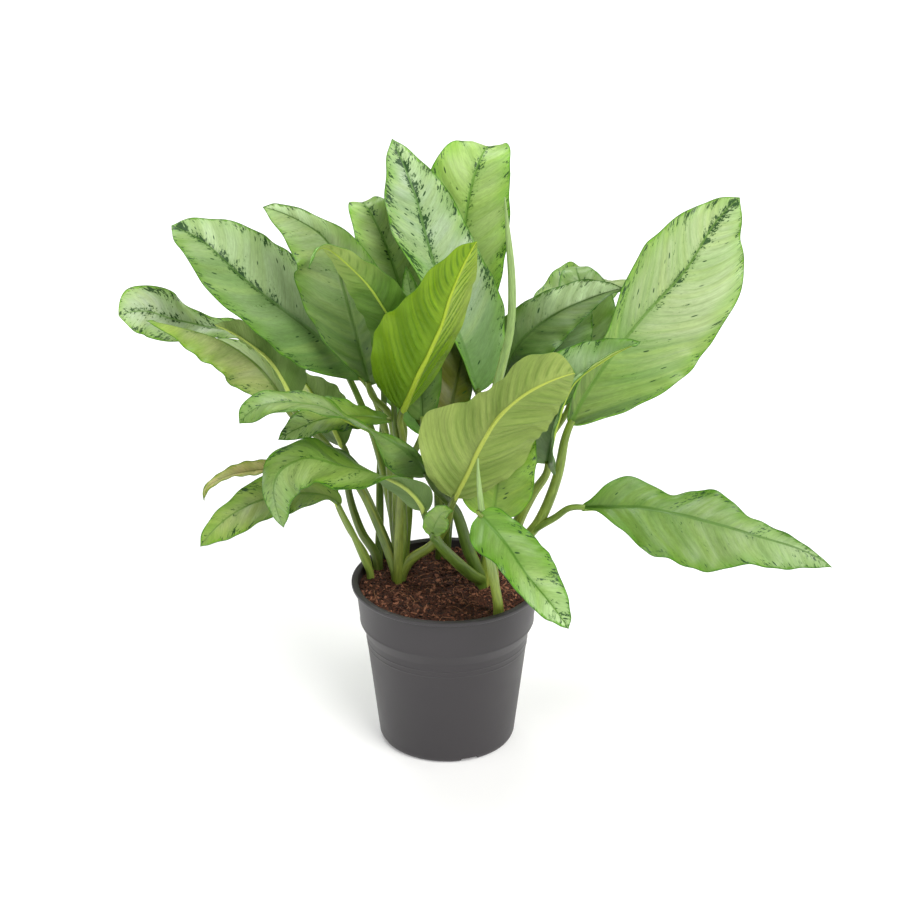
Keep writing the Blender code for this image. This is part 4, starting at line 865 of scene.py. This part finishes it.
def upper_skin():
    """Upper face: silvery green, dark flecks along the margin and midrib, green edge."""
    s = Surface("leaf_upper")
    edge, rib, flat = s.read("edge"), s.read("rib"), vein_place(s, 0.35)
    body = s.read("upper", "Color")
    deep = s.stretch(body, (0.42, 0.62, 0.26))
    silver, dull = s.stretch(body, (1.2, 1.12, 1.3)), s.stretch(body, (0.84, 0.92, 0.76))
    s.colour = s.mix(s.step(s.noise(flat, 0.03, 3), 0.3, 0.7), dull, silver)
    drift = s.times(s.math("SUBTRACT", s.noise(flat, 0.045, 3), 0.5), 26)
    s.cover(s.step(s.plus(edge, drift), 20, 0, 0, 0.85), s.stretch(body, (0.62, 0.88, 0.24)))
    s.cover(s.step(rib, 7, 1, 0, 0.28), deep)
    # Painted shade towards the base, on shaded halves and in quilted valleys; painted light towards the tip.
    light_and_shade(s, deep, linear(196, 222, 168), 0.5)
    bands = s.noise(vein_place(s, 0.12), 0.06, 2, 0.55)
    s.cover(s.step(bands, 0.45, 0.66, 0, 0.4), s.stretch(body, (1.04, 1.1, 0.62)))
    leaf_grain(s, flat, 0.22, 0.95, 1.05)
    lines = vein_lines(s, VEIN_STEP, 0.16)
    s.cover(s.times(lines, s.step(s.read("share"), 0.98, 0.8)), deep, 0.22)
    spot_place = s.stretch(flat, (1, 2.3, 1))
    cluster = s.times(s.math("SUBTRACT", s.noise(flat, 0.07, 2), 0.5), 0.56)
    level = s.plus(s.plus(s.noise(spot_place, 0.34, 4.5, 0.72), s.read("fleck")), cluster)
    s.cover(s.step(level, 0.6, 0.74), deep, 0.35)
    cell = s.node("TexVoronoi", {"Vector": vein_place(s, 0.55), "Scale": 0.15}, "Distance")
    specks = s.times(s.step(cell, 0.2, 0.13), s.step(cell.node.outputs["Color"], 0.62, 0.66))
    marks = s.math("MAXIMUM", s.step(level, 0.72, 0.742), specks)
    s.cover(marks, s.mix(s.noise(flat, 0.15), linear(14, 50, 22), linear(34, 80, 20)), 0.94)
    ragged = s.times(s.noise(spot_place, 0.16, 4, 0.65), 13)
    s.cover(s.step(s.plus(edge, ragged), 9, 7.2), s.stretch(body, (0.5, 0.84, 0.13)), 0.9)
    s.cover(s.step(rib, 1.5, 0.8), deep, 0.75)
    s.cover(s.step(edge, 1.2, 0.5), linear(46, 94, 22), 0.65)
    s.bump(s.plus(s.times(lines, -0.5), s.noise(flat, 1.6, 3, 0.6)), 0.00016, 0.7)
    return s.finish(s.step(s.noise(flat, 0.12, 3), 0.3, 0.7, 0.34, 0.46), Specular_IOR_Level=0.32)


def under_skin():
    """Lower face: plain yellow-green with raised pale veins and a bright midrib."""
    s = Surface("leaf_under")
    flat = vein_place(s, 0.35)
    cloud = s.noise(flat, 0.03, 3)
    body = s.read("under", "Color")
    deep, bright = s.stretch(body, (0.48, 0.62, 0.36)), s.stretch(body, (1.5, 1.35, 1.3))
    s.colour = s.mix(s.step(cloud, 0.35, 0.7, 0, 0.6), body, deep)
    leaf_grain(s, flat, 0.45, 0.9, 1.08)
    # Painted shade towards the base, on shaded halves and in quilted valleys; painted light towards the tip.
    light_and_shade(s, deep, linear(200, 214, 120), 0.6)
    lines, fine = vein_lines(s, VEIN_STEP, 0.13), vein_lines(s, VEIN_STEP / 5, 0.3)
    fade = s.step(s.read("share"), 1, 0.85)
    s.cover(s.times(lines, fade), bright, 0.08)
    s.cover(s.times(fine, fade), bright, 0.12)
    s.cover(s.step(s.read("rib"), 1.05, 0.7), s.mix(0.5, bright, linear(176, 192, 66)))
    s.bump(s.plus(s.plus(s.times(lines, 1.2), s.times(fine, 0.4)), s.noise(flat, 1.4, 3, 0.6)), 0.0002, 0.7)
    return s.finish(s.step(cloud, 0.3, 0.7, 0.44, 0.56), Specular_IOR_Level=0.25)


def stalk_skin():
    """Fleshy stalk: green, yellower on some, with lengthwise streaks; a spear has a tone of 1."""
    s = Surface("stalk")
    run, turn, tone = s.read("run"), s.read("turn"), s.read("tone")
    streak = s.noise(s.vector(s.times(run, 0.06), s.times(turn, 3.2), tone), 1.3, 4, 0.6)
    patch = s.noise(s.vector(s.times(run, 0.03), s.times(turn, 0.5), tone), 1, 3)
    is_spear = s.step(tone, 0.85, 0.95)
    s.colour = s.mix(s.step(patch, 0.3, 0.7), linear(92, 124, 36), linear(132, 160, 66))
    s.cover(tone, linear(150, 166, 52), 0.6)
    s.cover(is_spear, s.mix(s.step(s.read("share"), 0.2, 0.5), linear(142, 162, 62), linear(150, 180, 108)))
    s.dim(s.step(streak, 0.25, 0.75, 0.66, 1.16))
    s.cover(s.read("lip"), linear(180, 190, 90), 0.5)
    # The tint darkens leafy stalks, not spears: partly their own colour, partly painted shade.
    s.colour = s.stretch(s.colour, s.mix(is_spear, s.read("tint", "Color"), WHITE))
    s.bump(streak, 0.0003, 0.6)
    return s.finish(s.step(patch, 0.3, 0.7, 0.36, 0.5), Specular_IOR_Level=0.5)


def soil_skin(name, pale):
    """Damp bark and peat, from near black to red-brown, with pale crumbs if pale."""
    s = Surface(name)
    where = s.place()
    grain = s.noise(where, 420, 5, 0.7)
    s.colour = s.mix(s.step(grain, 0.36, 0.64), linear(14, 8, 7), linear(92, 54, 38))
    s.cover(s.step(s.noise(where, 70, 3), 0.45, 0.75), linear(52, 26, 19), 0.4)
    if pale:
        s.cover(s.step(s.read("tone"), 0.25, 0.9), linear(150, 100, 76))
    s.bump(grain, 0.0012, 0.8)
    return s.finish(s.step(grain, 0.3, 0.7, 0.68, 0.95), Specular_IOR_Level=0.3)


def fibre_skin():
    """Dry root and coir fibre."""
    s = Surface("fibre")
    grain = s.noise(s.place(), 160, 4, 0.6)
    s.colour = s.mix(grain, linear(112, 66, 44), linear(178, 132, 98))
    s.bump(grain, 0.0003, 0.5)
    return s.finish(s.step(grain, 0.3, 0.7, 0.7, 0.9), Specular_IOR_Level=0.3)


def pot_skin():
    """Dark grey moulded plastic: dull satin with fine scuffs and a faint mould grain."""
    s = Surface("pot_plastic")
    where = s.place()
    cloud, grain = s.noise(where, 14, 3), s.noise(where, 1500, 2, 0.6)
    scuffs = s.step(s.noise(s.stretch(where, (1, 1, 6)), 46, 6, 0.75), 0.6, 0.78)
    s.colour = s.mix(cloud, linear(49, 46, 49), linear(57, 54, 56))
    s.cover(scuffs, linear(92, 86, 87), 0.16)
    s.bump(s.plus(grain, s.times(scuffs, 0.3)), 0.00006, 0.6)
    rough = s.plus(s.step(cloud, 0.3, 0.7, 0.4, 0.5), s.times(scuffs, 0.12))
    return s.finish(rough, Specular_IOR_Level=0.45)


def floor_skin():
    """White floor, very slightly uneven, that glows a little."""
    s = Surface("floor")
    s.colour = s.mix(s.noise(s.place(), 2), linear(226, 226, 226), linear(229, 229, 229))
    return s.finish(0.9, Specular_IOR_Level=0.1, Emission_Color=WHITE, Emission_Strength=FLOOR_GLOW)


def light(name, direction, spread, strength, colour=(1, 1, 1)):
    """Soft, even light from a direction; spread is the angle it fills, in degrees."""
    lamp = bpy.data.lights.new(name, "SUN")
    lamp.angle = math.radians(spread)
    lamp.energy = strength
    lamp.color = colour
    thing = add_object(name, lamp)
    thing.rotation_euler = (-Vector(direction)).to_track_quat("-Z", "Y").to_euler()


def build_stage():
    """White floor, even white surroundings, soft lamps and the photograph's camera."""
    scene = bpy.context.scene
    mesh = bpy.data.meshes.new("floor")
    corners = [(x * FLOOR_HALF, y * FLOOR_HALF, -FLOOR_DROP) for x, y in ((-1, -1), (1, -1), (1, 1), (-1, 1))]
    mesh.from_pydata(corners, [], [(0, 1, 2, 3)])
    mesh.materials.append(floor_skin())
    floor = add_object("floor", mesh)
    world = bpy.data.worlds.new("white room")
    world.use_nodes = True
    around = world.node_tree.nodes["Background"].inputs
    around["Color"].default_value = WHITE
    around["Strength"].default_value = WORLD_LIGHT
    scene.world = world
    light("key", (0.75, -0.9, 1.25), 40, KEY_LIGHT, (1, 0.99, 0.97))
    light("fill", (-1.2, -0.9, 0.7), 60, FILL_LIGHT)
    light("top", (-0.25, 0.7, 1.4), 40, TOP_LIGHT)
    lens = bpy.data.cameras.new("camera")
    lens.lens = 100
    lens.sensor_width = 36
    lens.clip_end = 50
    camera = add_object("camera", lens)
    camera.location = CAMERA_PLACE
    camera.rotation_euler = (math.radians(CAMERA_TILT), 0, 0)
    scene.camera = camera
    scene.view_settings.view_transform = "Standard"


def main():
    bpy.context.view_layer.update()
    build_stage()
    upper, under, stalk = upper_skin(), under_skin(), stalk_skin()
    for number, (name, leaf) in enumerate(LEAVES.items()):
        blade = build_blade("fine_" + name, leaf, number, [upper, under])
        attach(blade, "root")
        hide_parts(name)
    for number, (name, row) in enumerate(STEMS.items()):
        stem = build_stem("fine_" + name, row, number, stalk)
        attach(stem, "root")
        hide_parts(name)
    pot = build_pot(pot_skin())
    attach(pot, "root")
    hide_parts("pot")
    body = build_soil(soil_skin("soil_mix", False))
    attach(body, "root")
    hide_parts("soil")
    for piece in (build_chips(soil_skin("bark", True)), build_fibres(fibre_skin())):
        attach(piece, "root")


main()
